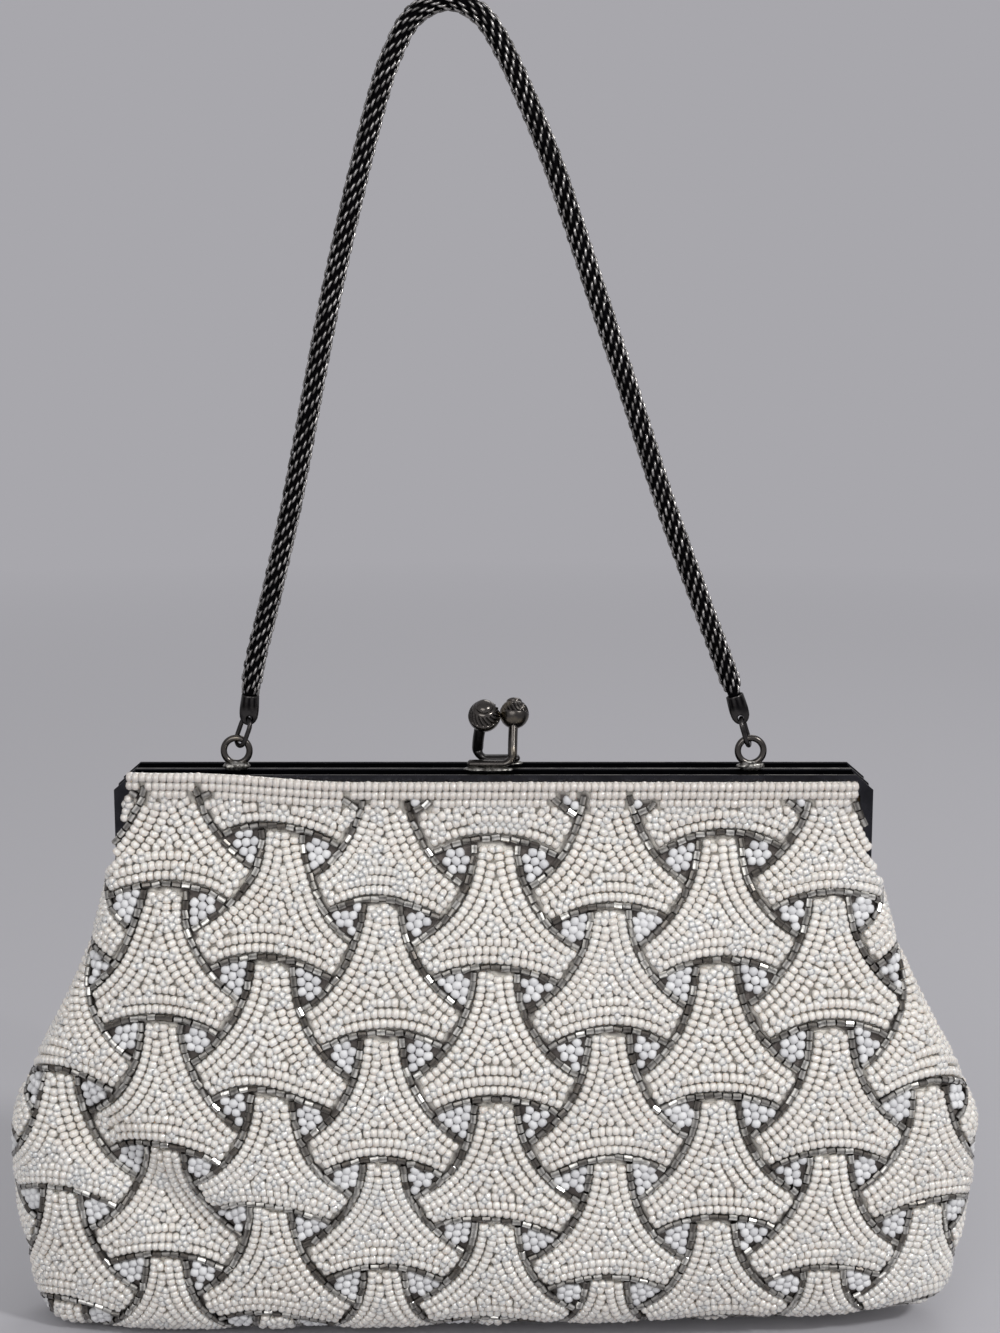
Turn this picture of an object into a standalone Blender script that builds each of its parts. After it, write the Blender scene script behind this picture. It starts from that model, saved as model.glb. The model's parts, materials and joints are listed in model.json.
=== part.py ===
"""A beaded evening bag on a kiss-lock frame, hung by its woven chain handle.

X runs along the frame, +Y to the back and +Z up. The origin is the underside of the handle's highest
point, where a hook or a finger holds the bag. Pieces are drawn in the bag's own coordinates, with zero
at the middle of the frame's top, and each hangs from an empty on the axis that it turns about.
"""

import math

import bmesh
import bpy
from mathutils import Vector
import numpy as np

MM = 0.001
GAP = 0.3 * MM
OVERRUN = 20.0 * MM
ROUND_SIDES = 24
WIRE_SIDES = 10

# Frame: two channel halves, each a top bar with a short arm at both ends
FRAME_WIDTH = 190.0 * MM
HALF_DEPTH = 7.6 * MM
SHEET = 0.8 * MM
OUTER_WALL = 3.2 * MM
INNER_WALL = 4.6 * MM
RIDGE_HEIGHT = 0.25 * MM
RIDGE_WIDTH = 0.55 * MM
CORNER_RUN = 4.4 * MM
CORNER_DROP = 3.8 * MM
ARM_LENGTH = 21.0 * MM
HINGE_DROP = 26.0 * MM
LUG_RADIUS = 3.0 * MM
LUG_OVERLAP = 4.0 * MM
LUG_ANGLES = (math.radians(70), math.radians(290))

# Hinge pins: rivets along X through both halves' lugs
PIN_RADIUS = 1.0 * MM
PIN_HEAD_RADIUS = 2.0 * MM
PIN_HEAD = 0.7 * MM

# Rings soldered on the front half, and the open links that join them to the handle
RING_SPACING = 129.7 * MM
RING_RADIUS = 3.25 * MM
RING_WIRE_RADIUS = 0.8 * MM
RING_LIFT = 0.55 * MM
SOLDER_LENGTH = 7.6 * MM
SOLDER_HEIGHT = 1.5 * MM
SOLDER_SHARES = (
    # height, length, width
    (0.0, 1.0, 1.0), (0.5, 0.86, 0.9), (1.0, 0.45, 0.5),
)
LINK_WIRE_RADIUS = 0.45 * MM
LINK_LENGTH = 7.5 * MM
LINK_WIDTH = 5.4 * MM
RING_PLAY = 0.7 * MM
EYE_PLAY = 0.4 * MM
LEFT_LINK_LEAN = math.radians(20)
RIGHT_LINK_LEAN = math.radians(-17)

# End caps: crimped tubes, round where the chain enters and flat at the eyelet
CAP_LENGTH = 7.9 * MM
CAP_WIDTH = 4.9 * MM
CAP_FLAT = 1.4 * MM
CAP_END_WIDTH = 4.4 * MM
CAP_EYE_RADIUS = 1.4 * MM
CAP_EYE_INSET = 2.4 * MM
CAP_SHARES = (
    # along the length, from the flat end's form to the round mouth's, of the width there
    (0.0, 0.0, 0.62), (0.05, 0.0, 0.86), (0.14, 0.0, 1.0), (0.52, 0.0, 1.0),
    (0.68, 0.45, 1.0), (0.8, 0.85, 1.0), (1.0, 1.0, 1.0),
)
FLAT_SQUARENESS = 4.0
ROUND_SQUARENESS = 2.0
LEFT_CAP_LEAN = math.radians(11)
RIGHT_CAP_LEAN = math.radians(-9)

# Handle chain: its route between the two caps, as shares of the span and of the rise
CHAIN_RADIUS = 2.5 * MM
CHAIN_STEP = 10.5 * MM
CHAIN_LEAD = 4.0 * MM
CHAIN_BEVEL_STEPS = 2
HANDLE_RISE = 168.5 * MM
ROUTE_SHARES = (
    (0.0157, 0.065), (0.043, 0.14), (0.092, 0.288), (0.133, 0.434), (0.174, 0.578),
    (0.222, 0.719), (0.274, 0.859), (0.314, 0.928), (0.362, 0.978), (0.422, 1.0),
    (0.479, 0.979), (0.526, 0.928), (0.571, 0.859), (0.612, 0.789), (0.648, 0.719),
    (0.715, 0.578), (0.784, 0.434), (0.851, 0.288), (0.928, 0.14), (0.968, 0.065),
)

# Kiss-lock: on each half an arm with a ball that leans over the other half
CLASP_OFFSET = 1.6 * MM
BALL_RADIUS = 3.65 * MM
BALL_HEIGHT = 14.1 * MM
BALL_LEAN_OVER = 1.2 * MM
BALL_FLAT_SHARE = 0.9
BAND_RADIUS = 2.9 * MM
BAND_HEIGHT = 0.9 * MM
BAND_TOP_SHARE = 0.86
BUTTON_RADIUS = 2.05 * MM
BUTTON_HEIGHT = 0.9 * MM
DOME_ANGLES = (0.2, 0.55, 1.0, 1.3)
FRONT_BALL_TILT = math.radians(25)
BACK_BALL_TILT = math.radians(-36)
STRIP_THICK = 1.7 * MM
STRIP_WIDTH = 3.0 * MM
STRIP_TOP_SHARE = 0.75
STRIP_BEVEL = 0.28 * MM
STRIP_INSET = 1.5 * MM
FOOT_LENGTH = 11.0 * MM
STEM_OUTSET = 4.7 * MM
BEND_RADIUS = 2.6 * MM
BEND_STEPS = 5

# Beaded cloth and satin
PANEL_THICK = 2.4 * MM
FRONT_FACE = 9.95 * MM
PLATE_BACK = 6.05 * MM
LIP = 1.7 * MM
LIP_ROUND = 2.4 * MM
EDGING_TOP = 1.5 * MM
EDGING_HEIGHT = 4.3 * MM
EDGING_PROUD = 0.2 * MM
EDGING_INSET = 1.4 * MM
TONGUE_THICK = 0.5 * MM
TONGUE_REACH = 4.0 * MM
LINING_THICK = 0.7 * MM
BINDING_RADIUS = 1.45 * MM
BINDING_LENGTH = 14.0 * MM
TAB_DROP = 22.0 * MM
POCKET_THICK = 0.7 * MM

# Where the cloth that opens with a half meets the cloth of the pouch: a round seam about the hinge
SEAM_RADIUS = 15.0 * MM
SIDE_CLEAR_ANGLE = math.radians(115)
SIDE_CLEAR_RADIUS = 14.5 * MM
ARC_STEPS = 12

# Pouch: its neck beside the frame, its widest place, its depth and its drop, and its outline between them
NECK_OUTSET = 1.7 * MM
BAG_HALF_WIDTH = 125.3 * MM
BAG_HALF_DEPTH = 26.0 * MM
BAG_DROP = 143.0 * MM
POUCH_SHARES = (
    # drop, half width from the neck's to the widest, half depth, squareness of the plan
    (0.065, 0.001, 0.372, 9.0),
    (0.105, 0.014, 0.383, 8.0),
    (0.145, 0.036, 0.455, 6.5),
    (0.190, 0.058, 0.545, 5.2),
    (0.245, 0.115, 0.665, 4.2),
    (0.345, 0.290, 0.795, 3.4),
    (0.435, 0.509, 0.880, 3.0),
    (0.525, 0.746, 0.945, 2.8),
    (0.600, 0.921, 0.985, 2.7),
    (0.665, 1.000, 1.000, 2.7),
    (0.760, 0.974, 0.995, 2.7),
    (0.850, 0.904, 0.955, 2.8),
    (0.920, 0.834, 0.875, 3.0),
    (0.968, 0.772, 0.765, 3.2),
    (0.992, 0.693, 0.655, 3.4),
    (1.000, 0.584, 0.560, 3.6),
    (1.000, 0.474, 0.000, 3.6),
)
PLAN_STEPS = 22
POCKET_ROWS = (5, 9)
POCKET_COLUMNS = (8, 14)

# Worked out from the sizes above
HALF_WIDTH = FRAME_WIDTH / 2
NECK_HALF_WIDTH = HALF_WIDTH + NECK_OUTSET
HALF_GAP = GAP / 2
HALF_OUT = HALF_GAP + HALF_DEPTH
STRIP_LEVEL = -RIDGE_HEIGHT
RING_LEVEL = GAP + RING_LIFT + RING_RADIUS + RING_WIRE_RADIUS
RING_PLACE = -(HALF_GAP + GAP + RING_WIRE_RADIUS)
SEAT_LEVEL = STRIP_LEVEL + GAP
ARM_INNER = HALF_WIDTH - INNER_WALL - GAP
SIDE_SPLIT = ARM_INNER - GAP
CLEAR_HALF = GAP / 2


def along(lean):
    """The direction that leans this far from straight up, towards +X."""
    return Vector((math.sin(lean), 0, math.cos(lean)))


def link_ends(side, lean):
    """The middle of a link's wire where it passes through the ring and through the cap's eyelet."""
    ring = Vector((side * RING_SPACING / 2, RING_PLACE, RING_LEVEL))
    inside = RING_RADIUS - RING_WIRE_RADIUS - RING_PLAY - LINK_WIRE_RADIUS
    low = ring + inside * along(lean)
    return low, low + LINK_LENGTH * along(lean)


def eyelet(side, lean):
    """The middle of the cap's eyelet, whose lower edge rests on the link."""
    return link_ends(side, lean)[1] + (CAP_EYE_RADIUS - LINK_WIRE_RADIUS - EYE_PLAY) * along(lean)


def cap_mouth(side, link_lean, cap_lean):
    """Where the chain enters the cap."""
    return eyelet(side, link_lean) + (CAP_LENGTH - CAP_EYE_INSET) * along(cap_lean)


LEFT_MOUTH = cap_mouth(-1, LEFT_LINK_LEAN, LEFT_CAP_LEAN)
RIGHT_MOUTH = cap_mouth(1, RIGHT_LINK_LEAN, RIGHT_CAP_LEAN)
LEFT_EYE = eyelet(-1, LEFT_LINK_LEAN)
RIGHT_EYE = eyelet(1, RIGHT_LINK_LEAN)


def route_point(shares):
    """One point of the handle's route, between the two caps' mouths."""
    across, up = shares
    return LEFT_MOUTH.lerp(RIGHT_MOUTH, across) + Vector((0, 0, up * HANDLE_RISE))


APEX = route_point(max(ROUTE_SHARES, key=lambda shares: shares[1]))
HOOK_POINT = APEX - Vector((0, 0, CHAIN_RADIUS))
SWING_AXIS = Vector((0, RING_PLACE, RING_LEVEL + RING_RADIUS * math.cos(LEFT_LINK_LEAN)))
HINGE_AXIS = Vector((0, 0, -HINGE_DROP))


def clear_scene():
    for obj in list(bpy.data.objects):
        bpy.data.objects.remove(obj, do_unlink=True)


def material(name, colour, roughness, metallic=0.0):
    """A Principled material of a linear colour."""
    made = bpy.data.materials.new(name)
    made.use_nodes = True
    shader = made.node_tree.nodes["Principled BSDF"]
    shader.inputs["Base Color"].default_value = (*colour, 1)
    shader.inputs["Roughness"].default_value = roughness
    shader.inputs["Metallic"].default_value = metallic
    made.diffuse_color = (*colour, 1)
    return made


GUNMETAL = ((0.035, 0.035, 0.038), 0.35, 1.0)
PEWTER = ((0.12, 0.115, 0.105), 0.38, 1.0)
PEARL = ((0.74, 0.72, 0.67), 0.35)
SATIN = ((0.66, 0.62, 0.54), 0.5)
PAPER = ((0.45, 0.33, 0.2), 0.9)


def axis_empty(name, place, parent=None):
    """An empty on a joint's axis, placed in the bag's coordinates."""
    empty = bpy.data.objects.new(name, None)
    bpy.context.scene.collection.objects.link(empty)
    start = HOOK_POINT if parent is None else Vector(parent["place"])
    empty["place"] = tuple(place)
    empty.location = place - start
    empty.parent = parent
    return empty


def add_object(name, mesh, empty, finish=None):
    """An object whose mesh is drawn in the bag's coordinates, hung from the empty of its axis."""
    obj = bpy.data.objects.new(name, mesh)
    bpy.context.scene.collection.objects.link(obj)
    obj.parent = empty
    obj.location = -Vector(empty["place"])
    if finish:
        mesh.materials.append(material(name, *finish))
    else:
        obj.hide_render = True
        obj.display_type = "WIRE"
    return obj


def mesh_from(points, faces):
    """A closed mesh from points and faces, with its faces turned outwards."""
    bm = bmesh.new()
    verts = [bm.verts.new(point) for point in points]
    for face in faces:
        bm.faces.new([verts[index] for index in face])
    bmesh.ops.recalc_face_normals(bm, faces=bm.faces)
    mesh = bpy.data.meshes.new("mesh")
    bm.to_mesh(mesh)
    bm.free()
    return mesh


def lofted(sections, closed=False):
    """A mesh through rings of as many points each, with capped ends unless the rings close on themselves."""
    count = len(sections[0])
    points = [point for section in sections for point in section]
    faces = []
    for ring in range(len(sections) if closed else len(sections) - 1):
        here = ring * count
        there = (ring + 1) % len(sections) * count
        for i in range(count):
            after = (i + 1) % count
            faces.append((here + i, here + after, there + after, there + i))
    if not closed:
        faces.append(tuple(range(count)))
        faces.append(tuple(range(len(points) - count, len(points))))
    return mesh_from(points, faces)


def smooth(mesh, angle=35):
    mesh.shade_smooth()
    mesh.set_sharp_from_angle(angle=math.radians(angle))
    return mesh


def turned(profile, place, axis, sides=ROUND_SIDES):
    """A solid turned about an axis, from its profile of radius and height; end points lie on the axis."""
    turn = Vector((0, 0, 1)).rotation_difference(axis).to_matrix()
    points = [place + turn @ Vector((0, 0, profile[0][1]))]
    rings = profile[1:-1]
    for radius, height in rings:
        for i in range(sides):
            angle = math.tau * i / sides
            points.append(place + turn @ Vector((radius * math.cos(angle), radius * math.sin(angle), height)))
    points.append(place + turn @ Vector((0, 0, profile[-1][1])))
    faces = []
    last = len(points) - 1
    top = last - sides
    for i in range(sides):
        after = (i + 1) % sides
        faces.append((0, 1 + i, 1 + after))
        faces.append((last, top + i, top + after))
        for ring in range(len(rings) - 1):
            here = 1 + ring * sides
            there = here + sides
            faces.append((here + i, here + after, there + after, there + i))
    return smooth(mesh_from(points, faces))


def extruded(outline, direction, start, end):
    """A prism: an outline of points in a plane, carried along a direction from one place to another."""
    low = [point + direction * start for point in outline]
    high = [point + direction * end for point in outline]
    return lofted([low, high])


def arc(centre, radius, start, end, steps):
    """Points of an arc in the plane of Y and Z, its angles counted from straight up towards +Y."""
    points = []
    for i in range(steps + 1):
        angle = start + (end - start) * i / steps
        points.append(centre + radius * Vector((0, math.sin(angle), math.cos(angle))))
    return points


def boolean(obj, cutter, operation="DIFFERENCE"):
    modifier = obj.modifiers.new(operation.title(), "BOOLEAN")
    modifier.operation = operation
    modifier.object = cutter
    modifier.solver = "EXACT"


def frame_path():
    """The outer edge of a frame half in the plane of X and Z, from one arm's foot to the other's."""
    left = [
        Vector((-HALF_WIDTH, 0, -ARM_LENGTH)),
        Vector((-HALF_WIDTH, 0, -CORNER_DROP)),
        Vector((-HALF_WIDTH + CORNER_RUN, 0, 0)),
    ]
    return left + [Vector((-point.x, 0, point.z)) for point in reversed(left)]


def inward_steps(path):
    """At each point of the path, how far the edge moves for each metre that it is set inwards."""
    steps = []
    for i, point in enumerate(path):
        before = (point - path[i - 1]).normalized() if i else None
        after = (path[i + 1] - point).normalized() if i + 1 < len(path) else None
        first = Vector(((before or after).z, 0, -(before or after).x))
        second = Vector(((after or before).z, 0, -(after or before).x))
        middle = (first + second).normalized()
        steps.append(middle / middle.dot(first))
    return steps


def swept_frame(section, path):
    """A section of depth (inwards) and place in Y, swept along the frame's edge with mitred corners."""
    rings = []
    for point, inward in zip(path, inward_steps(path)):
        rings.append([point + inward * depth + Vector((0, place, 0)) for depth, place in section])
    return lofted(rings)


def channel_section(side):
    """The U of a frame half, with a raised ridge along both edges of its top."""
    near = side * HALF_GAP
    far = side * HALF_OUT
    near_in = near + side * SHEET
    far_in = far - side * SHEET
    floor = RIDGE_HEIGHT + SHEET
    return [
        (0, near),
        (0, near + side * RIDGE_WIDTH),
        (RIDGE_HEIGHT, near + side * (RIDGE_WIDTH + RIDGE_HEIGHT)),
        (RIDGE_HEIGHT, far - side * (RIDGE_WIDTH + RIDGE_HEIGHT)),
        (0, far - side * RIDGE_WIDTH),
        (0, far),
        (OUTER_WALL, far),
        (OUTER_WALL, far_in),
        (floor, far_in),
        (floor, near_in),
        (INNER_WALL, near_in),
        (INNER_WALL, near),
    ]


def lug_outline(side):
    """The hinge lug seen along X: from the arm's width down to a round end about the hinge."""
    wide = HALF_OUT - SHEET / 2
    narrow = HALF_GAP + SHEET / 2
    top = -(ARM_LENGTH - LUG_OVERLAP)
    foot = -(ARM_LENGTH - SHEET)
    round_end = arc(HINGE_AXIS, LUG_RADIUS, side * LUG_ANGLES[0], side * LUG_ANGLES[1], ARC_STEPS)
    return [
        Vector((0, side * narrow, top)),
        Vector((0, side * wide, top)),
        Vector((0, side * wide, foot)),
        *round_end,
        Vector((0, side * narrow, foot)),
    ]


def add_frame_half(name, side, empty):
    """A channel half with its two lugs; the front half's lugs lie outside the back half's."""
    half = add_object(name, swept_frame(channel_section(side), frame_path()), empty, GUNMETAL)
    outer = HALF_WIDTH if side < 0 else HALF_WIDTH - SHEET - GAP
    hole = PIN_RADIUS + GAP
    for hand in (-1, 1):
        lug = extruded(lug_outline(side), Vector((hand, 0, 0)), outer - SHEET, outer)
        boolean(half, add_object(f"{name}_lug_{hand}", lug, empty), "UNION")
        profile = [(0, -OVERRUN), (hole, -OVERRUN), (hole, OVERRUN), (0, OVERRUN)]
        bore = turned(profile, HINGE_AXIS + Vector((hand * HALF_WIDTH, 0, 0)), Vector((1, 0, 0)))
        boolean(half, add_object(f"{name}_bore_{hand}", bore, empty))
    return half


def add_hinge_pin(name, hand, empty):
    """A rivet along X, with a head outside the front lug and another inside the back lug."""
    inner = -(2 * SHEET + 2 * GAP)
    profile = [
        (0, inner - PIN_HEAD),
        (PIN_HEAD_RADIUS, inner - PIN_HEAD),
        (PIN_HEAD_RADIUS, inner),
        (PIN_RADIUS, inner),
        (PIN_RADIUS, GAP),
        (PIN_HEAD_RADIUS, GAP),
        (PIN_HEAD_RADIUS, GAP + PIN_HEAD / 2),
        (PIN_RADIUS, GAP + PIN_HEAD),
        (0, GAP + PIN_HEAD),
    ]
    place = HINGE_AXIS + Vector((hand * HALF_WIDTH, 0, 0))
    add_object(name, turned(profile, place, Vector((hand, 0, 0))), empty, GUNMETAL)


def wire_loop(centres, radius, sides=WIRE_SIDES):
    """A closed round wire along points that lie in one plane."""
    count = len(centres)
    middle = sum(centres, Vector()) / count
    normal = (centres[0] - middle).cross(centres[count // 4] - middle).normalized()
    rings = []
    for i, centre in enumerate(centres):
        ahead = (centres[(i + 1) % count] - centres[i - 1]).normalized()
        outward = ahead.cross(normal)
        ring = []
        for j in range(sides):
            angle = math.tau * j / sides
            ring.append(centre + radius * (math.cos(angle) * outward + math.sin(angle) * normal))
        rings.append(ring)
    return smooth(lofted(rings, closed=True))


def add_handle_ring(name, side, empty):
    """A ring that stands along the frame on a low mound of solder."""
    centre = Vector((side * RING_SPACING / 2, RING_PLACE, RING_LEVEL))
    circle = []
    for i in range(ROUND_SIDES):
        angle = math.tau * i / ROUND_SIDES
        circle.append(centre + RING_RADIUS * Vector((math.cos(angle), 0, math.sin(angle))))
    ring = add_object(name, wire_loop(circle, RING_WIRE_RADIUS), empty, PEWTER)
    base = Vector((centre.x, centre.y, GAP))
    sections = []
    for height_share, length_share, width_share in SOLDER_SHARES:
        section = []
        for i in range(ROUND_SIDES):
            angle = math.tau * i / ROUND_SIDES
            across = math.cos(angle) * length_share * SOLDER_LENGTH / 2
            deep = math.sin(angle) * width_share * (RING_WIRE_RADIUS + CLEAR_HALF)
            section.append(base + Vector((across, deep, height_share * SOLDER_HEIGHT)))
        sections.append(section)
    boolean(ring, add_object(f"{name}_solder", lofted(sections), empty), "UNION")


def add_link(name, side, lean, empty):
    """A stadium of wire through the ring and the cap's eyelet."""
    low, high = link_ends(side, lean)
    up = (high - low).normalized()
    bend = LINK_WIDTH / 2 - LINK_WIRE_RADIUS
    across = Vector((0, 1, 0))
    half_turn = ROUND_SIDES // 2
    centres = []
    for end, start_angle in ((high - up * bend, 0), (low + up * bend, math.pi)):
        for i in range(half_turn + 1):
            angle = start_angle + math.pi * i / half_turn
            centres.append(end + bend * (math.cos(angle) * across + math.sin(angle) * up))
    add_object(name, wire_loop(centres, LINK_WIRE_RADIUS), empty, PEWTER)


def add_end_cap(name, eye, lean, empty):
    """A crimped tube, round at its mouth and pressed flat round its eyelet."""
    up = along(lean)
    side_way = Vector((up.z, 0, -up.x))
    end = eye - CAP_EYE_INSET * up
    rings = []
    for length_share, round_share, width_share in CAP_SHARES:
        wide = (CAP_END_WIDTH + (CAP_WIDTH - CAP_END_WIDTH) * round_share) * width_share / 2
        deep = (CAP_FLAT + (CAP_WIDTH - CAP_FLAT) * round_share) / 2
        squareness = FLAT_SQUARENESS + (ROUND_SQUARENESS - FLAT_SQUARENESS) * round_share
        ring = []
        for i in range(ROUND_SIDES):
            angle = math.tau * i / ROUND_SIDES
            across = math.copysign(abs(math.cos(angle)) ** (2 / squareness), math.cos(angle))
            through = math.copysign(abs(math.sin(angle)) ** (2 / squareness), math.sin(angle))
            offset = wide * across * side_way + Vector((0, deep * through, 0))
            ring.append(end + length_share * CAP_LENGTH * up + offset)
        rings.append(ring)
    cap = add_object(name, smooth(lofted(rings)), empty, GUNMETAL)
    profile = [(0, -CAP_WIDTH), (CAP_EYE_RADIUS, -CAP_WIDTH), (CAP_EYE_RADIUS, CAP_WIDTH), (0, CAP_WIDTH)]
    boolean(cap, add_object(f"{name}_eyelet", turned(profile, eye, Vector((0, 1, 0))), empty))


def smooth_route(points, step):
    """Points at an even step along a smooth curve through the route's points."""
    control = np.array([tuple(point) for point in points])
    padded = np.vstack([2 * control[0] - control[1], control, 2 * control[-1] - control[-2]])
    fine = []
    for i in range(1, len(padded) - 2):
        before, start, end, after = padded[i - 1:i + 3]
        for t in np.linspace(0, 1, ROUND_SIDES, endpoint=False):
            fine.append(0.5 * (
                2 * start + (end - before) * t + (2 * before - 5 * start + 4 * end - after) * t ** 2
                + (3 * start - before - 3 * end + after) * t ** 3
            ))
    fine.append(control[-1])
    fine = np.array(fine)
    reach = np.concatenate([[0], np.cumsum(np.linalg.norm(np.diff(fine, axis=0), axis=1))])
    places = np.linspace(0, reach[-1], round(reach[-1] / step) + 1)
    return np.column_stack([np.interp(places, reach, fine[:, k]) for k in range(3)])


def add_chain(name, empty):
    """The handle: a tube of woven mesh from cap to cap, taut over what holds it."""
    ends = []
    for mouth, lean in ((LEFT_MOUTH, LEFT_CAP_LEAN), (RIGHT_MOUTH, RIGHT_CAP_LEAN)):
        ends.append([mouth + reach * along(lean) for reach in (GAP, GAP + CHAIN_LEAD)])
    (start, lead_up), (end, lead_down) = ends
    route = [start, *smooth_route([lead_up, *map(route_point, ROUTE_SHARES), lead_down], CHAIN_STEP), end]
    curve = bpy.data.curves.new(name, "CURVE")
    curve.dimensions = "3D"
    curve.bevel_depth = CHAIN_RADIUS
    curve.bevel_resolution = CHAIN_BEVEL_STEPS
    curve.use_fill_caps = True
    spline = curve.splines.new("POLY")
    spline.points.add(len(route) - 1)
    for point, place in zip(spline.points, route):
        point.co = (*place, 1)
    chain = bpy.data.objects.new(name, curve)
    bpy.context.scene.collection.objects.link(chain)
    chain.parent = empty
    chain.location = -Vector(empty["place"])
    curve.materials.append(material(name, *GUNMETAL))


def clasp_places(side):
    """The ball's middle on its arm's top, and where the stem rises from the foot."""
    hand = -side
    ball = Vector((CLASP_OFFSET + hand * (BALL_RADIUS + CLEAR_HALF), -side * BALL_LEAN_OVER, BALL_HEIGHT))
    stem_depth = HALF_GAP + STRIP_INSET + STRIP_WIDTH / 2
    stem = Vector((hand * STEM_OUTSET + CLEAR_HALF, side * stem_depth, SEAT_LEVEL))
    return ball, stem, hand


def add_clasp_arm(name, side, empty):
    """A bent strip: a foot soldered along the frame's top, and a stem that leans over to the ball."""
    ball, stem, hand = clasp_places(side)
    level = stem.z + STRIP_THICK / 2
    tip = ball.z - BALL_RADIUS * BALL_FLAT_SHARE - GAP
    path = [Vector((stem.x - hand * FOOT_LENGTH, stem.y, level))]
    for i in range(BEND_STEPS + 1):
        angle = math.pi / 2 * i / BEND_STEPS
        turn_x = stem.x - hand * BEND_RADIUS + hand * BEND_RADIUS * math.sin(angle)
        path.append(Vector((turn_x, stem.y, level + BEND_RADIUS * (1 - math.cos(angle)))))
    foot_of_stem = path[-1]
    lean = Vector((ball.x, ball.y, ball.z)) - foot_of_stem
    reach = (tip - foot_of_stem.z) / lean.z
    path.append(foot_of_stem + lean * reach / 2)
    path.append(foot_of_stem + lean * reach)
    rings = []
    for i, point in enumerate(path):
        ahead = path[min(i + 1, len(path) - 1)] - path[max(i - 1, 0)]
        flat = Vector((ahead.x, 0, ahead.z)).normalized()
        normal = Vector((-flat.z, 0, flat.x))
        share = 1 - (1 - STRIP_TOP_SHARE) * max(0, point.z - foot_of_stem.z) / (tip - foot_of_stem.z)
        half = Vector((0, STRIP_WIDTH / 2 * share, 0))
        thick = normal * STRIP_THICK / 2
        rings.append([point - thick - half, point - thick + half, point + thick + half, point + thick - half])
    arm = add_object(name, smooth(lofted(rings)), empty, PEWTER)
    bevel = arm.modifiers.new("Bevel", "BEVEL")
    bevel.width = STRIP_BEVEL
    bevel.segments = 1
    bevel.limit_method = "ANGLE"


def add_clasp_ball(side, word, tilt, empty):
    """A ball with a knurled band near its top, and the button that rivets it to the arm."""
    ball, _, _ = clasp_places(side)
    axis = Vector((0, math.sin(tilt), math.cos(tilt)))
    seat = math.sqrt(BALL_RADIUS ** 2 - BAND_RADIUS ** 2)
    band_top = min(seat + BAND_HEIGHT, BALL_RADIUS)
    low = -BALL_RADIUS * BALL_FLAT_SHARE
    start = math.acos(-BALL_FLAT_SHARE)
    stop = math.asin(BAND_RADIUS / BALL_RADIUS)
    profile = [(0, low)]
    for i in range(ARC_STEPS + 1):
        angle = start + (stop - start) * i / ARC_STEPS
        profile.append((BALL_RADIUS * math.sin(angle), BALL_RADIUS * math.cos(angle)))
    profile += [(BAND_RADIUS * BAND_TOP_SHARE, band_top), (0, band_top)]
    add_object(f"{word}_clasp_ball", turned(profile, ball, axis), empty, PEWTER)
    button_seat = band_top + GAP
    dome = [(0, button_seat), (BUTTON_RADIUS, button_seat)]
    for angle in DOME_ANGLES:
        dome.append((BUTTON_RADIUS * math.cos(angle), button_seat + BUTTON_HEIGHT * math.sin(angle)))
    dome.append((0, button_seat + BUTTON_HEIGHT))
    add_object(f"{word}_clasp_button", turned(dome, ball, axis), empty, PEWTER)


def plate_outline(side):
    """The upper beaded panel from above: flat along the frame, and round past its arms."""
    wide = HALF_WIDTH + GAP + LIP
    face = side * FRONT_FACE
    back = side * PLATE_BACK
    points = [Vector((-wide, back, 0))]
    for hand in (-1, 1):
        corner = Vector((hand * (wide - LIP_ROUND), side * (FRONT_FACE - LIP_ROUND), 0))
        angles = [math.pi / 2 * i / BEND_STEPS for i in range(BEND_STEPS + 1)]
        if hand > 0:
            angles.reverse()
        for angle in angles:
            across = hand * LIP_ROUND * math.cos(angle)
            points.append(corner + Vector((across, side * LIP_ROUND * math.sin(angle), 0)))
    points.append(Vector((wide, back, 0)))
    return points


def seam_cutter(side, radius, upper):
    """What lies inside the round seam, or outside it above the hinge, between the frame's arms."""
    if not upper:
        return arc(HINGE_AXIS, radius, -math.pi, math.pi, 4 * ARC_STEPS)[:-1]
    far = HINGE_DROP + OVERRUN
    start = HINGE_AXIS + Vector((0, 0, radius))
    quarter = arc(HINGE_AXIS, radius, 0, side * math.pi / 2, ARC_STEPS)
    edge = HINGE_AXIS + Vector((0, side * 2 * BAG_HALF_DEPTH, 0))
    return [*quarter, edge, edge + Vector((0, 0, far)), start + Vector((0, 0, far - radius))]


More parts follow.
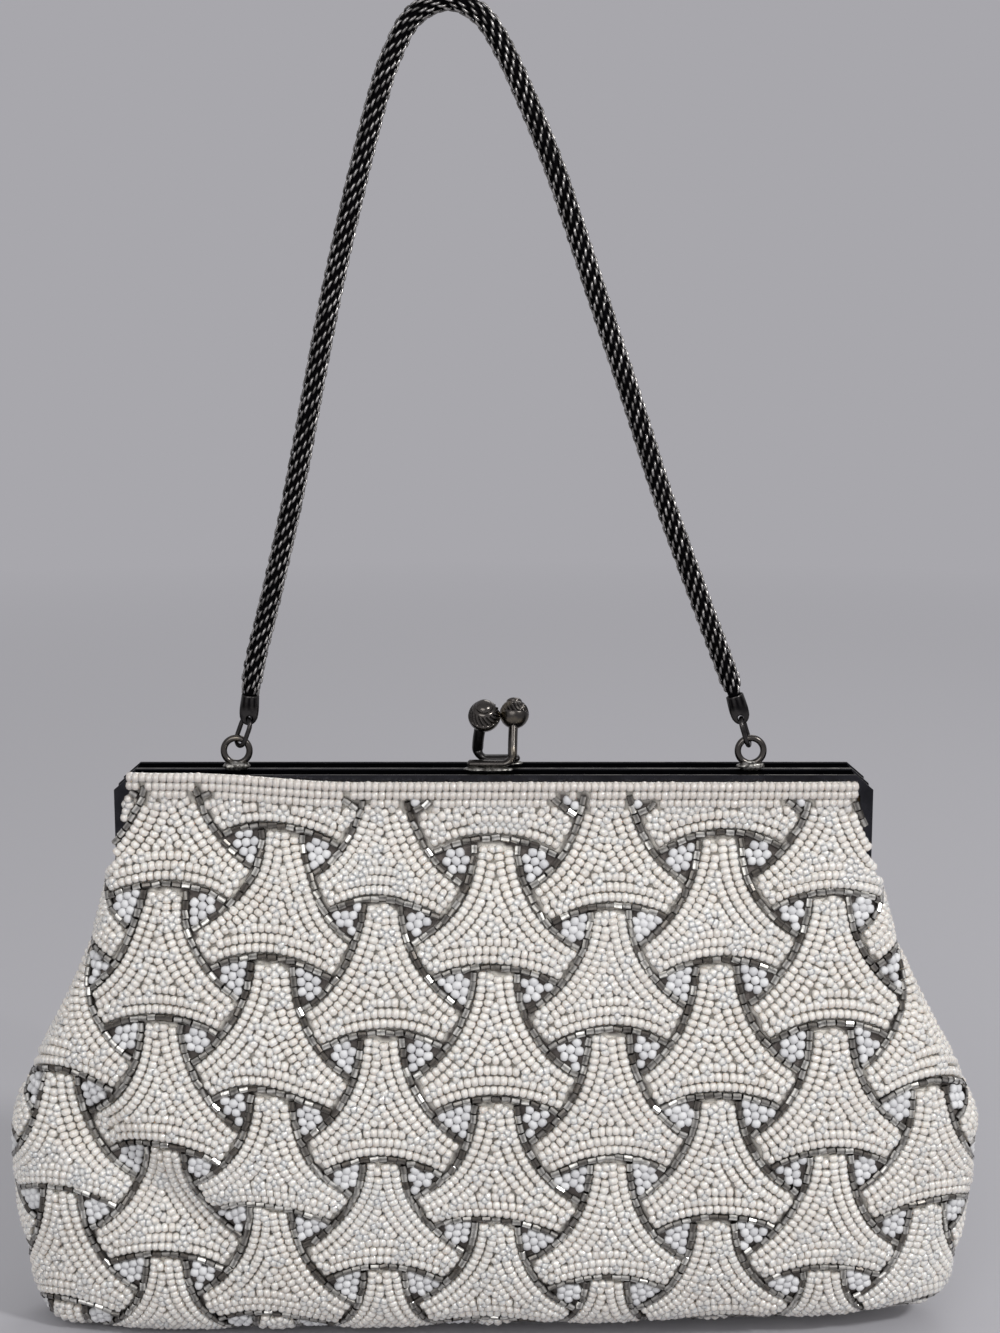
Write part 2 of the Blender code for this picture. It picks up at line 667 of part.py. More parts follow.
def add_upper_panel(name, side, empty):
    """The beaded cloth that opens with its half: before the channel's wall, and a tongue inside it."""
    top = -(EDGING_TOP + EDGING_HEIGHT + GAP)
    panel = add_object(name, extruded(plate_outline(side), Vector((0, 0, 1)), -TAB_DROP, top), empty, PEARL)
    near = side * -GAP
    far = side * (HALF_OUT + GAP)
    section = [(-GAP, near), (-GAP, far), (OUTER_WALL + GAP, far), (OUTER_WALL + GAP, near)]
    path = frame_path()
    for end in (0, -1):
        path[end] = path[end] - Vector((0, 0, OVERRUN))
    boolean(panel, add_object(f"{name}_channel", swept_frame(section, path), empty))
    x_way = Vector((1, 0, 0))
    inside = extruded(seam_cutter(side, SEAM_RADIUS + CLEAR_HALF, False), x_way, -ARM_INNER, ARM_INNER)
    boolean(panel, add_object(f"{name}_seam", inside, empty))
    outside_face = HALF_OUT - SHEET - GAP
    tongue_top = -(RIDGE_HEIGHT + SHEET + GAP)
    outline = []
    for place, level in ((0, 0), (1, 0), (1, 1), (0, 1)):
        depth = side * (outside_face - place * TONGUE_THICK)
        outline.append(Vector((0, depth, tongue_top - level * (OUTER_WALL + TONGUE_REACH))))
    tongue = extruded(outline, x_way, -SIDE_SPLIT, SIDE_SPLIT)
    boolean(panel, add_object(f"{name}_tongue", tongue, empty), "UNION")


def add_edging(name, side, empty):
    """The rows of beads along the panel's top edge, in front of the channel's wall."""
    back = HALF_OUT + GAP
    face = FRONT_FACE + EDGING_PROUD
    round_in = EDGING_PROUD + SHEET / 2
    low = -(EDGING_TOP + EDGING_HEIGHT)
    outline = [
        Vector((0, side * back, low)),
        Vector((0, side * (face - round_in), low)),
        Vector((0, side * face, low + round_in)),
        Vector((0, side * face, -(EDGING_TOP + EDGING_HEIGHT / 2) - round_in / 2)),
        Vector((0, side * (face - round_in / 2), -(EDGING_TOP + EDGING_HEIGHT / 2))),
        Vector((0, side * face, -(EDGING_TOP + EDGING_HEIGHT / 2) + round_in / 2)),
        Vector((0, side * face, -EDGING_TOP - round_in)),
        Vector((0, side * (face - round_in), -EDGING_TOP)),
        Vector((0, side * back, -EDGING_TOP)),
    ]
    wide = HALF_WIDTH - EDGING_INSET
    add_object(name, extruded(outline, Vector((1, 0, 0)), -wide, wide), empty, PEARL)


def add_upper_lining(name, side, empty):
    """Satin from inside the channel down to the round seam."""
    face = PLATE_BACK - GAP
    inner = face - LINING_THICK
    top = -(RIDGE_HEIGHT + SHEET + GAP)
    outline = []
    for depth, level in ((face, top), (inner, top), (inner, -HINGE_DROP), (face, -HINGE_DROP)):
        outline.append(Vector((0, side * depth, level)))
    x_way = Vector((1, 0, 0))
    lining = add_object(name, extruded(outline, x_way, -SIDE_SPLIT, SIDE_SPLIT), empty, SATIN)
    inside = extruded(seam_cutter(side, SEAM_RADIUS + CLEAR_HALF, False), x_way, -ARM_INNER, ARM_INNER)
    boolean(lining, add_object(f"{name}_seam", inside, empty))


def add_binding(name, side, empty):
    """The paper cord that wedges the cloth in the channel, along the bar and down both arms."""
    depth = RIDGE_HEIGHT + SHEET + GAP + BINDING_RADIUS
    place = side * (PLATE_BACK - 2 * GAP - LINING_THICK - BINDING_RADIUS)
    section = []
    for i in range(WIRE_SIDES):
        angle = math.tau * i / WIRE_SIDES
        section.append((depth + BINDING_RADIUS * math.cos(angle), place + BINDING_RADIUS * math.sin(angle)))
    path = frame_path()
    path[0] = Vector((path[0].x, 0, -BINDING_LENGTH))
    path[-1] = Vector((path[-1].x, 0, -BINDING_LENGTH))
    add_object(name, smooth(swept_frame(section, path)), empty, PAPER)


def bag_surface(depth):
    """The pouch's outer face set inwards by a depth, as rows down the bag of points all round its plan."""
    rows = []
    for drop, swell, deep, squareness in POUCH_SHARES:
        wide = NECK_HALF_WIDTH + swell * (BAG_HALF_WIDTH - NECK_HALF_WIDTH)
        row = []
        for i in range(2 * PLAN_STEPS):
            angle = math.pi * i / PLAN_STEPS
            power = 2 / squareness
            across = math.copysign(abs(math.cos(angle)) ** power, math.cos(angle))
            through = math.copysign(abs(math.sin(angle)) ** power, math.sin(angle))
            if i % PLAN_STEPS == 0:
                through = 0.0
            row.append((
                wide * across,
                -deep * BAG_HALF_DEPTH * through,
                -drop * BAG_DROP,
            ))
        rows.append(row)
    points = np.array(rows)
    round_way = np.roll(points, -1, axis=1) - np.roll(points, 1, axis=1)
    down_way = np.gradient(points, axis=0)
    normals = np.cross(down_way, round_way)
    normals[-1] = (0, 0, -1)
    normals /= np.linalg.norm(normals, axis=2, keepdims=True)
    outward = np.sign((normals[0] * points[0])[:, :2].sum())
    normals[:-1] *= outward
    return points - depth * normals


def half_shell(side, outer_depth, inner_depth, rows=None, columns=None):
    """One side of the pouch between two depths, closed along its edges."""
    first_row, last_row = rows or (0, len(POUCH_SHARES) - 1)
    first, last = columns or (0, PLAN_STEPS)
    start = 0 if side < 0 else PLAN_STEPS
    picks = [(start + i) % (2 * PLAN_STEPS) for i in range(first, last + 1)]
    faces_of = []
    for depth in (outer_depth, inner_depth):
        grid = bag_surface(depth)[first_row:last_row + 1, picks]
        grid[..., 1] += side * HALF_GAP
        faces_of.append(grid)
    wide = len(picks)
    tall = last_row - first_row + 1
    points = [Vector(point) for grid in faces_of for row in grid for point in row]
    layer = tall * wide
    faces = []
    for row in range(tall - 1):
        for column in range(wide - 1):
            a = row * wide + column
            faces.append((a, a + 1, a + wide + 1, a + wide))
            faces.append((layer + a, layer + a + wide, layer + a + wide + 1, layer + a + 1))
    rim = [column for column in range(wide)]
    rim += [row * wide + wide - 1 for row in range(1, tall)]
    rim += [(tall - 1) * wide + column for column in range(wide - 2, -1, -1)]
    rim += [row * wide for row in range(tall - 2, 0, -1)]
    for here, there in zip(rim, rim[1:] + rim[:1]):
        faces.append((there, here, layer + here, layer + there))
    return mesh_from(points, faces)


def side_cutter(side):
    """The room that a half's arm and its cloth sweep beside the hinge, on one side of the bag."""
    far = HINGE_DROP + OVERRUN
    round_part = arc(HINGE_AXIS, SIDE_CLEAR_RADIUS, side * SIDE_CLEAR_ANGLE, side * math.pi / 2, ARC_STEPS)
    edge = HINGE_AXIS + Vector((0, side * 2 * BAG_HALF_DEPTH, 0))
    eye = LUG_RADIUS + 2 * GAP
    lower = arc(HINGE_AXIS, eye, -side * math.pi / 2, -side * (math.tau - SIDE_CLEAR_ANGLE), ARC_STEPS)
    over = HINGE_AXIS + Vector((0, -side * eye, far))
    return [*lower, *round_part, edge, edge + Vector((0, 0, far)), over]


def add_pouch_piece(name, side, depths, empty, finish, **patch):
    """A layer of the pouch's cloth, cut clear of what opens with the frame's halves."""
    piece = add_object(name, half_shell(side, *depths, **patch), empty, finish)
    if patch:
        return
    x_way = Vector((1, 0, 0))
    between = extruded(seam_cutter(side, SEAM_RADIUS - CLEAR_HALF, True), x_way, -SIDE_SPLIT, SIDE_SPLIT)
    boolean(piece, add_object(f"{name}_seam", between, empty))
    for hand in (-1, 1):
        beside = extruded(side_cutter(side), x_way * hand, SIDE_SPLIT - GAP, BAG_HALF_WIDTH)
        boolean(piece, add_object(f"{name}_side_{hand}", beside, empty))


def add_handle():
    empty = axis_empty("handle_hold", HOOK_POINT)
    add_chain("handle_chain", empty)
    add_end_cap("left_end_cap", LEFT_EYE, LEFT_CAP_LEAN, empty)
    add_end_cap("right_end_cap", RIGHT_EYE, RIGHT_CAP_LEAN, empty)
    left = axis_empty("left_link_axis", LEFT_EYE, empty)
    add_link("left_link", -1, LEFT_LINK_LEAN, left)
    right = axis_empty("right_link_axis", RIGHT_EYE, empty)
    add_link("right_link", 1, RIGHT_LINK_LEAN, right)
    return empty


def add_half(side, word, tilt, empty):
    """All that opens with one half of the frame."""
    add_frame_half(f"{word}_frame_half", side, empty)
    add_clasp_arm(f"{word}_clasp_arm", side, empty)
    add_clasp_ball(side, word, tilt, empty)
    add_upper_panel(f"{word}_upper_panel", side, empty)
    add_edging(f"{word}_bead_edging", side, empty)
    add_upper_lining(f"{word}_upper_lining", side, empty)
    add_binding(f"{word}_binding_cord", side, empty)


def add_pouch(empty):
    lining = PANEL_THICK + GAP
    pocket = lining + LINING_THICK + GAP
    for side, word in ((-1, "front"), (1, "back")):
        add_pouch_piece(f"{word}_panel", side, (0, PANEL_THICK), empty, PEARL)
        add_pouch_piece(f"{word}_lining", side, (lining, lining + LINING_THICK), empty, SATIN)
    patch = {"rows": POCKET_ROWS, "columns": POCKET_COLUMNS}
    add_pouch_piece("inner_pocket", 1, (pocket, pocket + POCKET_THICK), empty, SATIN, **patch)


def main():
    clear_scene()
    handle = add_handle()
    front = axis_empty("handle_swing_axis", SWING_AXIS, handle)
    add_half(-1, "front", FRONT_BALL_TILT, front)
    for side, word in ((-1, "left"), (1, "right")):
        add_handle_ring(f"{word}_handle_ring", side, front)
        add_hinge_pin(f"{word}_hinge_pin", side, front)
    pouch = axis_empty("pouch_axis", HINGE_AXIS, front)
    add_pouch(pouch)
    back = axis_empty("back_frame_axis", HINGE_AXIS, pouch)
    add_half(1, "back", BACK_BALL_TILT, back)


main()
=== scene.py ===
"""A beaded evening bag on a kiss-lock frame, hung by a handle of woven mesh chain."""
import json
import math

import bpy
import numpy as np
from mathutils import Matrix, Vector, kdtree, noise


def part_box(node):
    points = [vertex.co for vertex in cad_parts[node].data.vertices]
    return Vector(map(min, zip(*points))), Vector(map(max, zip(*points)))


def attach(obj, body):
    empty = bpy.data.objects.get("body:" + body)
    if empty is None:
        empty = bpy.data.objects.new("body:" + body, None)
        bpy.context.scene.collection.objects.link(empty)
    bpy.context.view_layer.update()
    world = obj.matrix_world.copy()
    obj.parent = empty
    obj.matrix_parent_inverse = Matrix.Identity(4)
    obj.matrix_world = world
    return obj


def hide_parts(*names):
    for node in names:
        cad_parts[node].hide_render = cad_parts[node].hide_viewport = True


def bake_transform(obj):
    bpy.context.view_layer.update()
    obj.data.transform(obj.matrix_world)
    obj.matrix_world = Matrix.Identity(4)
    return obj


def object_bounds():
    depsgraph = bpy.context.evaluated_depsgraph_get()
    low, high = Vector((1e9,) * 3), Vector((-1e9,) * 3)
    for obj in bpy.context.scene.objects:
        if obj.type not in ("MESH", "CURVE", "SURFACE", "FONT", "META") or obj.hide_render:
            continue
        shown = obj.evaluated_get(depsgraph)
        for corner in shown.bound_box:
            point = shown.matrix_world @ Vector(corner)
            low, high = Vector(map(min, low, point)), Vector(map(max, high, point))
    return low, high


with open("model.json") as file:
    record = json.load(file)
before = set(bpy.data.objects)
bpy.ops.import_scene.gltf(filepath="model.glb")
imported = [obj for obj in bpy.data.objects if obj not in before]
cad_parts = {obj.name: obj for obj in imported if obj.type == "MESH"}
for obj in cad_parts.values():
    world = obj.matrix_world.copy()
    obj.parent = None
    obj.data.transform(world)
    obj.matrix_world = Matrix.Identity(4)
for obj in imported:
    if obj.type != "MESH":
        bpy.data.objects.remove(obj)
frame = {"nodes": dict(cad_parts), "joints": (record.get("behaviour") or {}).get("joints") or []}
CAD_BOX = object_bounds()

bl_info = {
    "name": "Beaded Frame Bag",
    "version": (1, 0, 0),
    "blender": (4, 5, 0),
    "location": "View3D > Sidebar > Frame Bag",
    "description": "Beadwork, woven chain, cloth and metal finishes for a frame bag",
    "category": "Object",
}

MM = 0.001
JOINTS = {joint["name"]: joint for joint in frame["joints"]}

# The bag's own place: the middle of the frame's top, with the hinge below it.
HINGE = Vector(JOINTS["frame_opening"]["pos_m"])
FRAME_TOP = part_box("front_frame_half")[1].z
ORIGIN = Vector((HINGE.x, HINGE.y, FRAME_TOP))
PANEL_LOW, PANEL_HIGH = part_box("front_panel")
SEAM_GAP = ORIGIN.y - PANEL_HIGH.y
HALF_WIDTH = PANEL_HIGH.x - ORIGIN.x
HALF_DEPTH = ORIGIN.y - PANEL_LOW.y - SEAM_GAP
BAG_DROP = ORIGIN.z - PANEL_LOW.z

# The face of the bag from the frame down: shares of its drop, half width and half depth, and how square.
PROFILE_SHARES = (
    (0.010, 0.736, 0.390, 14.0),
    (0.042, 0.743, 0.384, 12.0),
    (0.070, 0.755, 0.383, 10.0),
    (0.105, 0.772, 0.383, 8.0),
    (0.145, 0.780, 0.455, 6.5),
    (0.190, 0.785, 0.545, 5.2),
    (0.245, 0.798, 0.665, 4.2),
    (0.345, 0.838, 0.795, 3.4),
    (0.435, 0.888, 0.880, 3.0),
    (0.525, 0.942, 0.945, 2.8),
    (0.600, 0.982, 0.985, 2.7),
    (0.665, 1.000, 1.000, 2.7),
    (0.760, 0.994, 0.995, 2.7),
    (0.850, 0.978, 0.955, 2.8),
    (0.920, 0.962, 0.875, 3.0),
    (0.968, 0.948, 0.765, 3.2),
    (0.992, 0.930, 0.655, 3.4),
    (1.000, 0.905, 0.560, 3.6),
    (1.000, 0.880, 0.000, 3.6),
)
# Distances from the frame's middle to its ridges, where the frame's finish paints thin highlight lines.
RIDGES = (0.4 * MM, 7.5 * MM)
MAP_STEP = 0.5 * MM
MAP_REACH = 150 * MM
MAP_TURNS = 240
SIDE_OPEN = 8.0 * MM
SIDE_OPEN_DROP = 23 * MM
SIDE_SHUT_DROP = 33 * MM
LEAN = 0.022

# The ornament: three-armed motifs, each edge an arc, on a lattice of upright columns.
ARC_TURNS = (math.radians(30), math.radians(150), math.radians(270))
ARC_RADIUS = 30.4 * MM
ARC_REACH = 41.1 * MM
MOTIF_REPEAT = 32.2 * MM
COLUMN_PITCH = 28.0 * MM
COLUMN_SHIFT = -0.9 * MM
FIRST_MOTIF_DROP = 1.6 * MM
COLUMN_COUNT = 5
ROW_COUNT = 6
LAYOUTS = 4
SPOT_TRIES = 9000
WHITE_TRIES = 40
GAP_PLACES = ((18.6 * MM, 0.0), (9.3 * MM, 16.1 * MM))
GAP_TURNS = (
    (math.radians(50.5), math.radians(170.5), math.radians(290.5)),
    (math.radians(9.5), math.radians(129.5), math.radians(249.5)),
)
GAP_ARC_REACH = 26.6 * MM

# How far hand work wanders off the lattice, and over what distance.
WANDER_SEED = 4
WANDER = 1.5 * MM
WANDER_REPEAT = 38 * MM
WANDER_PLACE = {"front": 3.5, "back": 8.5}

# The front's pattern leans to the right, crowds in at the upper left, sags in the middle and runs long
# towards the bottom, and its cloth is drawn up at the frame's left end.
SHIFT_RIGHT = 1.3 * MM
CROWD = 2.8 * MM
SAG = 2.8 * MM
SAG_ACROSS = 10 * MM
SAG_WIDE = 40 * MM
SAG_DROP = 25 * MM
SAG_TALL = 25 * MM
RUN_LONG = 2.4 * MM
LEFT_RISE = 0.9 * MM
LOW_RISE = 3.6 * MM
FOLD = 4.6 * MM
FOLD_WIDE = 7 * MM
FOLD_START = (-118 * MM, 74 * MM)
FOLD_END = (-60 * MM, 126 * MM)
PULL = 2.3 * MM
PULL_START = 34 * MM
PULL_RUN = 42 * MM
PULL_DROP = 70 * MM

# Where each kind of bead lies, measured from the outer face of the beadwork.
PEARL_DEPTH = 1.2 * MM
CROWN = 0.55 * MM
CROWN_RUN = 4.5 * MM
TIP_DIP = 0.4 * MM
TIP_RUN = 5.0 * MM
BUGLE_DEPTH = 0.85 * MM
WHITE_DEPTH = 1.25 * MM
EDGE_DEPTH = 0.95 * MM
GROUND_DEPTH = 1.9 * MM
LINING_DEPTH = 2.95 * MM
POCKET_DEPTH = 3.95 * MM
POCKET_DROPS = (55 * MM, 100 * MM)
RIPPLE = 0.22 * MM
LINING_EASE = 0.35 * MM
POCKET_EASE = 0.6 * MM
LINING_LAP = 1.4 * MM
LAP_SINK = 0.4 * MM

# The pearls along the frame, the strip below them, and how the beads are parted into pieces.
PATTERN_TOP = 4.5 * MM
EDGE_ROWS = (1.3 * MM, 3.4 * MM, 5.5 * MM)
EDGE_CLEAR = 1.75 * MM
FILL_DROP = 13 * MM
FILL_TRIES = 12000
BARE_GAP = 1.55 * MM
BARE_RUN = 0.4 * MM
BUGLE_ROLL = math.radians(30)
BEAD_SEEDS = {"front": 11, "back": 23}
SLOTS = {"pearls": "pearl_beads", "bugles": "bugle_beads", "white_beads": "white_beads"}
PEARL_BANDS = (-5 * MM, 62 * MM, 108 * MM, 200 * MM)

# The paper cords that wedge the cloth in the frame.
PAPER_TWIST = 9 * MM
PAPER_STEP = 1.1 * MM
PAPER_CORNER = 3.2 * MM

# The handle's rings and links: how far each link is turned about its own length, and leans towards +X.
RING_REACH = 4.08 * MM
RING_WIRE = 0.84 * MM
LINK_WIRE = 0.6 * MM
LINK_TWIST = {"left": math.radians(36), "right": math.radians(-14)}
LINK_LEAN = {"left": math.radians(20), "right": math.radians(-17)}
RING_SOLDER = (3.5 * MM, 1.5 * MM, 1.15 * MM)

# The clasp, in millimetres but for its solder. Each half has its hand, where its stem stands and its ball
# sits, how far the ball tips back, how thick the stem is and how large the ball is beside its profile.
CLASP = {
    "front": (1, 4.75, 5.2, math.radians(25), 1.2, 0.99),
    "back": (-1, -4.1, -2.35, math.radians(-36), 1.45, 1.08),
}
CLASP_SOLDER = (6.2 * MM, 1.7 * MM, 0.7 * MM)
FOOT = 1.95
FOOT_ASIDE = 3.15
ARM_BEND = 2.4
ARM_FLAT = 0.95
ARM_HALF = 1.5
BALL_HEIGHT = 13.75
KNURLS = 18
KNURL_SLANT = 4.0
KNURL_RISE = 0.04
KNURL_DEEP = 0.55
BALL_PROFILE = (
    (-3.78, 0.05, 0), (-3.74, 0.55, 0), (-3.55, 1.3, 0), (-3.1, 2.15, 0), (-2.4, 2.92, 0), (-1.5, 3.46, 0),
    (-0.9, 3.68, 0), (-0.3, 3.78, 0), (0.1, 3.78, 0), (0.2, 3.7, 0.4), (0.35, 3.7, 1), (0.7, 3.66, 1),
    (1.05, 3.58, 1), (1.4, 3.46, 1), (1.75, 3.3, 1), (2.1, 3.08, 1), (2.3, 2.92, 0.6), (2.4, 2.78, 0),
    (2.55, 2.75, 0), (2.8, 2.55, 0), (2.95, 2.3, 0), (3.05, 1.9, 0), (3.05, 0.05, 0),
)
BUTTON_PROFILE = (
    (2.9, 0.05), (2.9, 1.9), (3.2, 2.05), (3.5, 1.98), (3.85, 1.7), (4.1, 1.25), (4.25, 0.7), (4.3, 0.05),
)

# The woven chain and its end caps. A cap's rings are given in millimetres: height, half width, half
# thickness, and how far the ring is crimped.
CHAIN_RADIUS = 2.74 * MM
CHAIN_LEAD = 4.0 * MM
MOUTH_SINK = 0.5 * MM
CHAIN_STAGGER = 6 / 14
CHAIN_SLANT = math.radians(11)
LINK_SINK = (-1.25, -0.45, 0.0, 0.0, -0.45, -1.25)
CRIMP_RUN = 5 * MM
CRIMP_RIDGES = 10
CRIMP_FOLD = 0.035
CAP_LEAN = {"left": math.radians(6), "right": math.radians(-17)}
CAP_REACH = 5.5 * MM
CAP_EYE = 0.84 * MM
CAP_EYE_RISE = 0.12 * MM
CAP_PROFILE = (
    (4.3, 1.95, 1.95, 0), (5.42, 2.03, 2.03, 0), (5.5, 2.12, 2.12, 0), (5.42, 2.22, 2.2, 0),
    (4.9, 2.26, 2.2, 1), (4.0, 2.32, 2.05, 1), (3.0, 2.38, 1.7, 1), (2.2, 2.42, 1.3, 0.5),
    (1.4, 2.42, 1.02, 0), (0.5, 2.36, 0.9, 0), (-0.4, 2.22, 0.86, 0), (-1.2, 1.86, 0.8, 0),
    (-1.8, 1.36, 0.7, 0), (-2.15, 0.8, 0.55, 0), (-2.28, 0.3, 0.3, 0),
)

# The handle's route, as shares across between its two mouths and up its rise.
HANDLE_RISE = 168.5 * MM
ROUTE_SHARES = (
    (0.0157, 0.065), (0.043, 0.14), (0.092, 0.288), (0.133, 0.434), (0.174, 0.578), (0.2205, 0.719),
    (0.2715, 0.859), (0.305, 0.928), (0.3465, 0.978), (0.414, 1.0), (0.479, 0.979), (0.526, 0.928),
    (0.571, 0.859), (0.612, 0.789), (0.648, 0.719), (0.715, 0.578), (0.784, 0.434), (0.851, 0.288),
    (0.928, 0.14), (0.968, 0.065),
)

# The view of the photograph, from the bag's own place, and the lamps: place, size and power.
CAMERA_PLACE = (1.6 * MM, -549.7 * MM, 123.1 * MM)
CAMERA_TURN = math.radians(80)
LAMPS = (
    ("key", (0.85, -0.75, 0.8), 0.18, 9.5),
    ("fill", (-0.35, -1.15, 0.5), 0.9, 5.0),
    ("rim", (0.3, 0.9, 0.8), 0.6, 2.5),
)


def linear(code):
    """An sRGB hex colour as Blender's linear colour."""
    parts = []
    for start in (1, 3, 5):
        share = int(code[start:start + 2], 16) / 255
        parts.append(share / 12.92 if share <= 0.04045 else ((share + 0.055) / 1.055) ** 2.4)
    return (*parts, 1.0)


def smooth_step(share):
    share = np.clip(share, 0, 1)
    return share * share * (3 - 2 * share)


def smooth_column(keys, values, places):
    """Values between the keys on a smooth curve that never swings past them."""
    steps = np.diff(keys)
    slopes = np.diff(values) / steps
    tangents = np.zeros(len(values))
    rising = slopes[1:] * slopes[:-1] > 0
    both = np.where(rising, slopes[1:] + slopes[:-1], 1)
    tangents[1:-1] = np.where(rising, 2 * slopes[1:] * slopes[:-1] / both, 0)
    tangents[0], tangents[-1] = slopes[0], slopes[-1]
    at = np.clip(np.searchsorted(keys, places, "right") - 1, 0, len(slopes) - 1)
    run = (places - keys[at]) / steps[at]
    rise = run * run * (3 - 2 * run)
    return (
        values[at] * (1 - rise) + values[at + 1] * rise
        + steps[at] * tangents[at] * run * (1 - run) ** 2
        - steps[at] * tangents[at + 1] * run * run * (1 - run)
    )


def dent(across, down):
    """How deep the front's cloth is pressed in along the soft fold at its lower left."""
    start, way = np.array(FOLD_START), np.array(FOLD_END) - FOLD_START
    length = np.linalg.norm(way)
    east, south = across - start[0], down - start[1]
    run = (east * way[0] + south * way[1]) / length ** 2
    aside = (east * way[1] - south * way[0]) / length
    return FOLD * np.exp(-(aside / FOLD_WIDE) ** 2) * smooth_step(3 * run) * smooth_step(3 - 3 * run)


class FaceMap:
    """Turns places on one face's cloth, across and down it, into points and directions in space."""

    def __init__(self, side):
        shares = np.array(PROFILE_SHARES)
        drop = shares[:, 0] * BAG_DROP
        deep = shares[:, 2] * HALF_DEPTH
        keys = np.concatenate([[0], np.cumsum(np.hypot(np.diff(drop), np.diff(deep)))])
        self.length = keys[-1]
        self.down = np.arange(0, self.length + MAP_STEP, MAP_STEP)
        inside = np.minimum(self.down, self.length)
        drops = smooth_column(keys, drop, inside)
        wides = smooth_column(keys, shares[:, 1] * HALF_WIDTH, inside)
        deeps = smooth_column(keys, deep, inside)
        squares = smooth_column(keys, shares[:, 3], inside)
        shut = smooth_step((drops - SIDE_OPEN_DROP) / (SIDE_SHUT_DROP - SIDE_OPEN_DROP))
        stops = SIDE_OPEN * (1 - shut)
        self.across = np.arange(-MAP_REACH, MAP_REACH + MAP_STEP, MAP_STEP)
        turn = np.linspace(math.pi / 2, 0, MAP_TURNS)
        self.limit = np.zeros(len(self.down))
        grid = np.zeros((len(self.down), len(self.across), 3))
        for row, (low, wide, deep, square) in enumerate(zip(drops, wides, deeps, squares)):
            swell = (np.abs(np.cos(turn)) ** square + np.abs(np.sin(turn)) ** square) ** (-1 / square)
            x = np.append(wide * swell * np.cos(turn), wide)
            y = np.append(deep * swell * np.sin(turn), -MAP_REACH)
            reach = np.concatenate([[0], np.cumsum(np.hypot(np.diff(x), np.diff(y)))])
            self.limit[row] = np.interp(-stops[row], -y, reach)
            away = np.abs(self.across)
            grid[row, :, 0] = np.sign(self.across) * np.interp(away, reach, x)
            grid[row, :, 1] = -np.interp(away, reach, y) - SEAM_GAP
            grid[row, :, 2] = -low
        if side > 0:
            grid[..., :2] *= -1
        else:
            grid[..., 1] += dent(self.across[None, :], self.down[:, None])
        grid[..., 2] += LEAN * grid[..., 0] * (drops[:, None] / BAG_DROP) ** 2
        self.grid = grid + np.array(ORIGIN)

    def sample(self, across, down):
        rows = np.clip(np.asarray(down) / MAP_STEP, 0, len(self.down) - 1.001)
        columns = np.clip((np.asarray(across) + MAP_REACH) / MAP_STEP, 0, len(self.across) - 1.001)
        row, column = rows.astype(int), columns.astype(int)
        a, b = (rows - row)[..., None], (columns - column)[..., None]
        upper = self.grid[row, column] * (1 - b) + self.grid[row, column + 1] * b
        lower = self.grid[row + 1, column] * (1 - b) + self.grid[row + 1, column + 1] * b
        return upper * (1 - a) + lower * a

    def frames(self, across, down):
        """Points on the face with the directions across it, up it and out of it."""
        across, down = np.asarray(across, float), np.asarray(down, float)
        ahead = self.sample(across + MAP_STEP, down) - self.sample(across - MAP_STEP, down)
        below = self.sample(across, down + MAP_STEP) - self.sample(across, down - MAP_STEP)
        out = np.cross(below, ahead)
        out /= np.linalg.norm(out, axis=-1, keepdims=True)
        ahead /= np.linalg.norm(ahead, axis=-1, keepdims=True)
        return self.sample(across, down), ahead, np.cross(out, ahead), out

    def reach(self, across, down):
        """As frames, but places past the cloth's own top or bottom run straight on from it."""
        inside = np.clip(down, 2 * MAP_STEP, self.length)
        point, ahead, up, out = self.frames(across, inside)
        return point + up * (inside - down)[..., None], ahead, up, out

    def limit_at(self, down):
        return np.interp(down, self.down, self.limit)

    def holds(self, across, down, margin):
        """True for places whose bead lies wholly on the cloth."""
        low = down < self.length - margin
        return low & (np.abs(across) < self.limit_at(down) - margin)


FACES = {"front": FaceMap(-1), "back": FaceMap(1)}


def clear_selection():
    if bpy.context.object and bpy.context.object.mode != "OBJECT":
        bpy.ops.object.mode_set(mode="OBJECT")
    bpy.ops.object.select_all(action="DESELECT")


def apply_modifier(obj, kind, **settings):
    """Adds a modifier, sets it and applies it, as from the modifier menu."""
    clear_selection()
    bpy.context.view_layer.objects.active = obj
    obj.select_set(True)
    modifier = obj.modifiers.new(kind.title(), kind)
    for name, value in settings.items():
        setattr(modifier, name, value)
    bpy.ops.object.modifier_apply(modifier=modifier.name)
    obj.select_set(False)


def object_from(name, mesh, finish):
    mesh.materials.append(finish)
    obj = bpy.data.objects.new(name, mesh)
    bpy.context.scene.collection.objects.link(obj)
    return obj


def swept_rings(route, side, thick, wide, sides=16):
    """Rings of an oval section along a route, its wide way kept beside the direction given."""
    way = np.gradient(route, axis=0)
    out = np.cross(side, way)
    out /= np.linalg.norm(out, axis=1, keepdims=True)
    beside = np.cross(way, out)
    beside /= np.linalg.norm(beside, axis=1, keepdims=True)
    turn = np.linspace(0, math.tau, sides, endpoint=False)
    across = (thick * np.cos(turn) * np.ones((len(route), 1)))[..., None] * out[:, None]
    along = (wide * np.sin(turn) * np.ones((len(route), 1)))[..., None] * beside[:, None]
    return route[:, None] + across + along


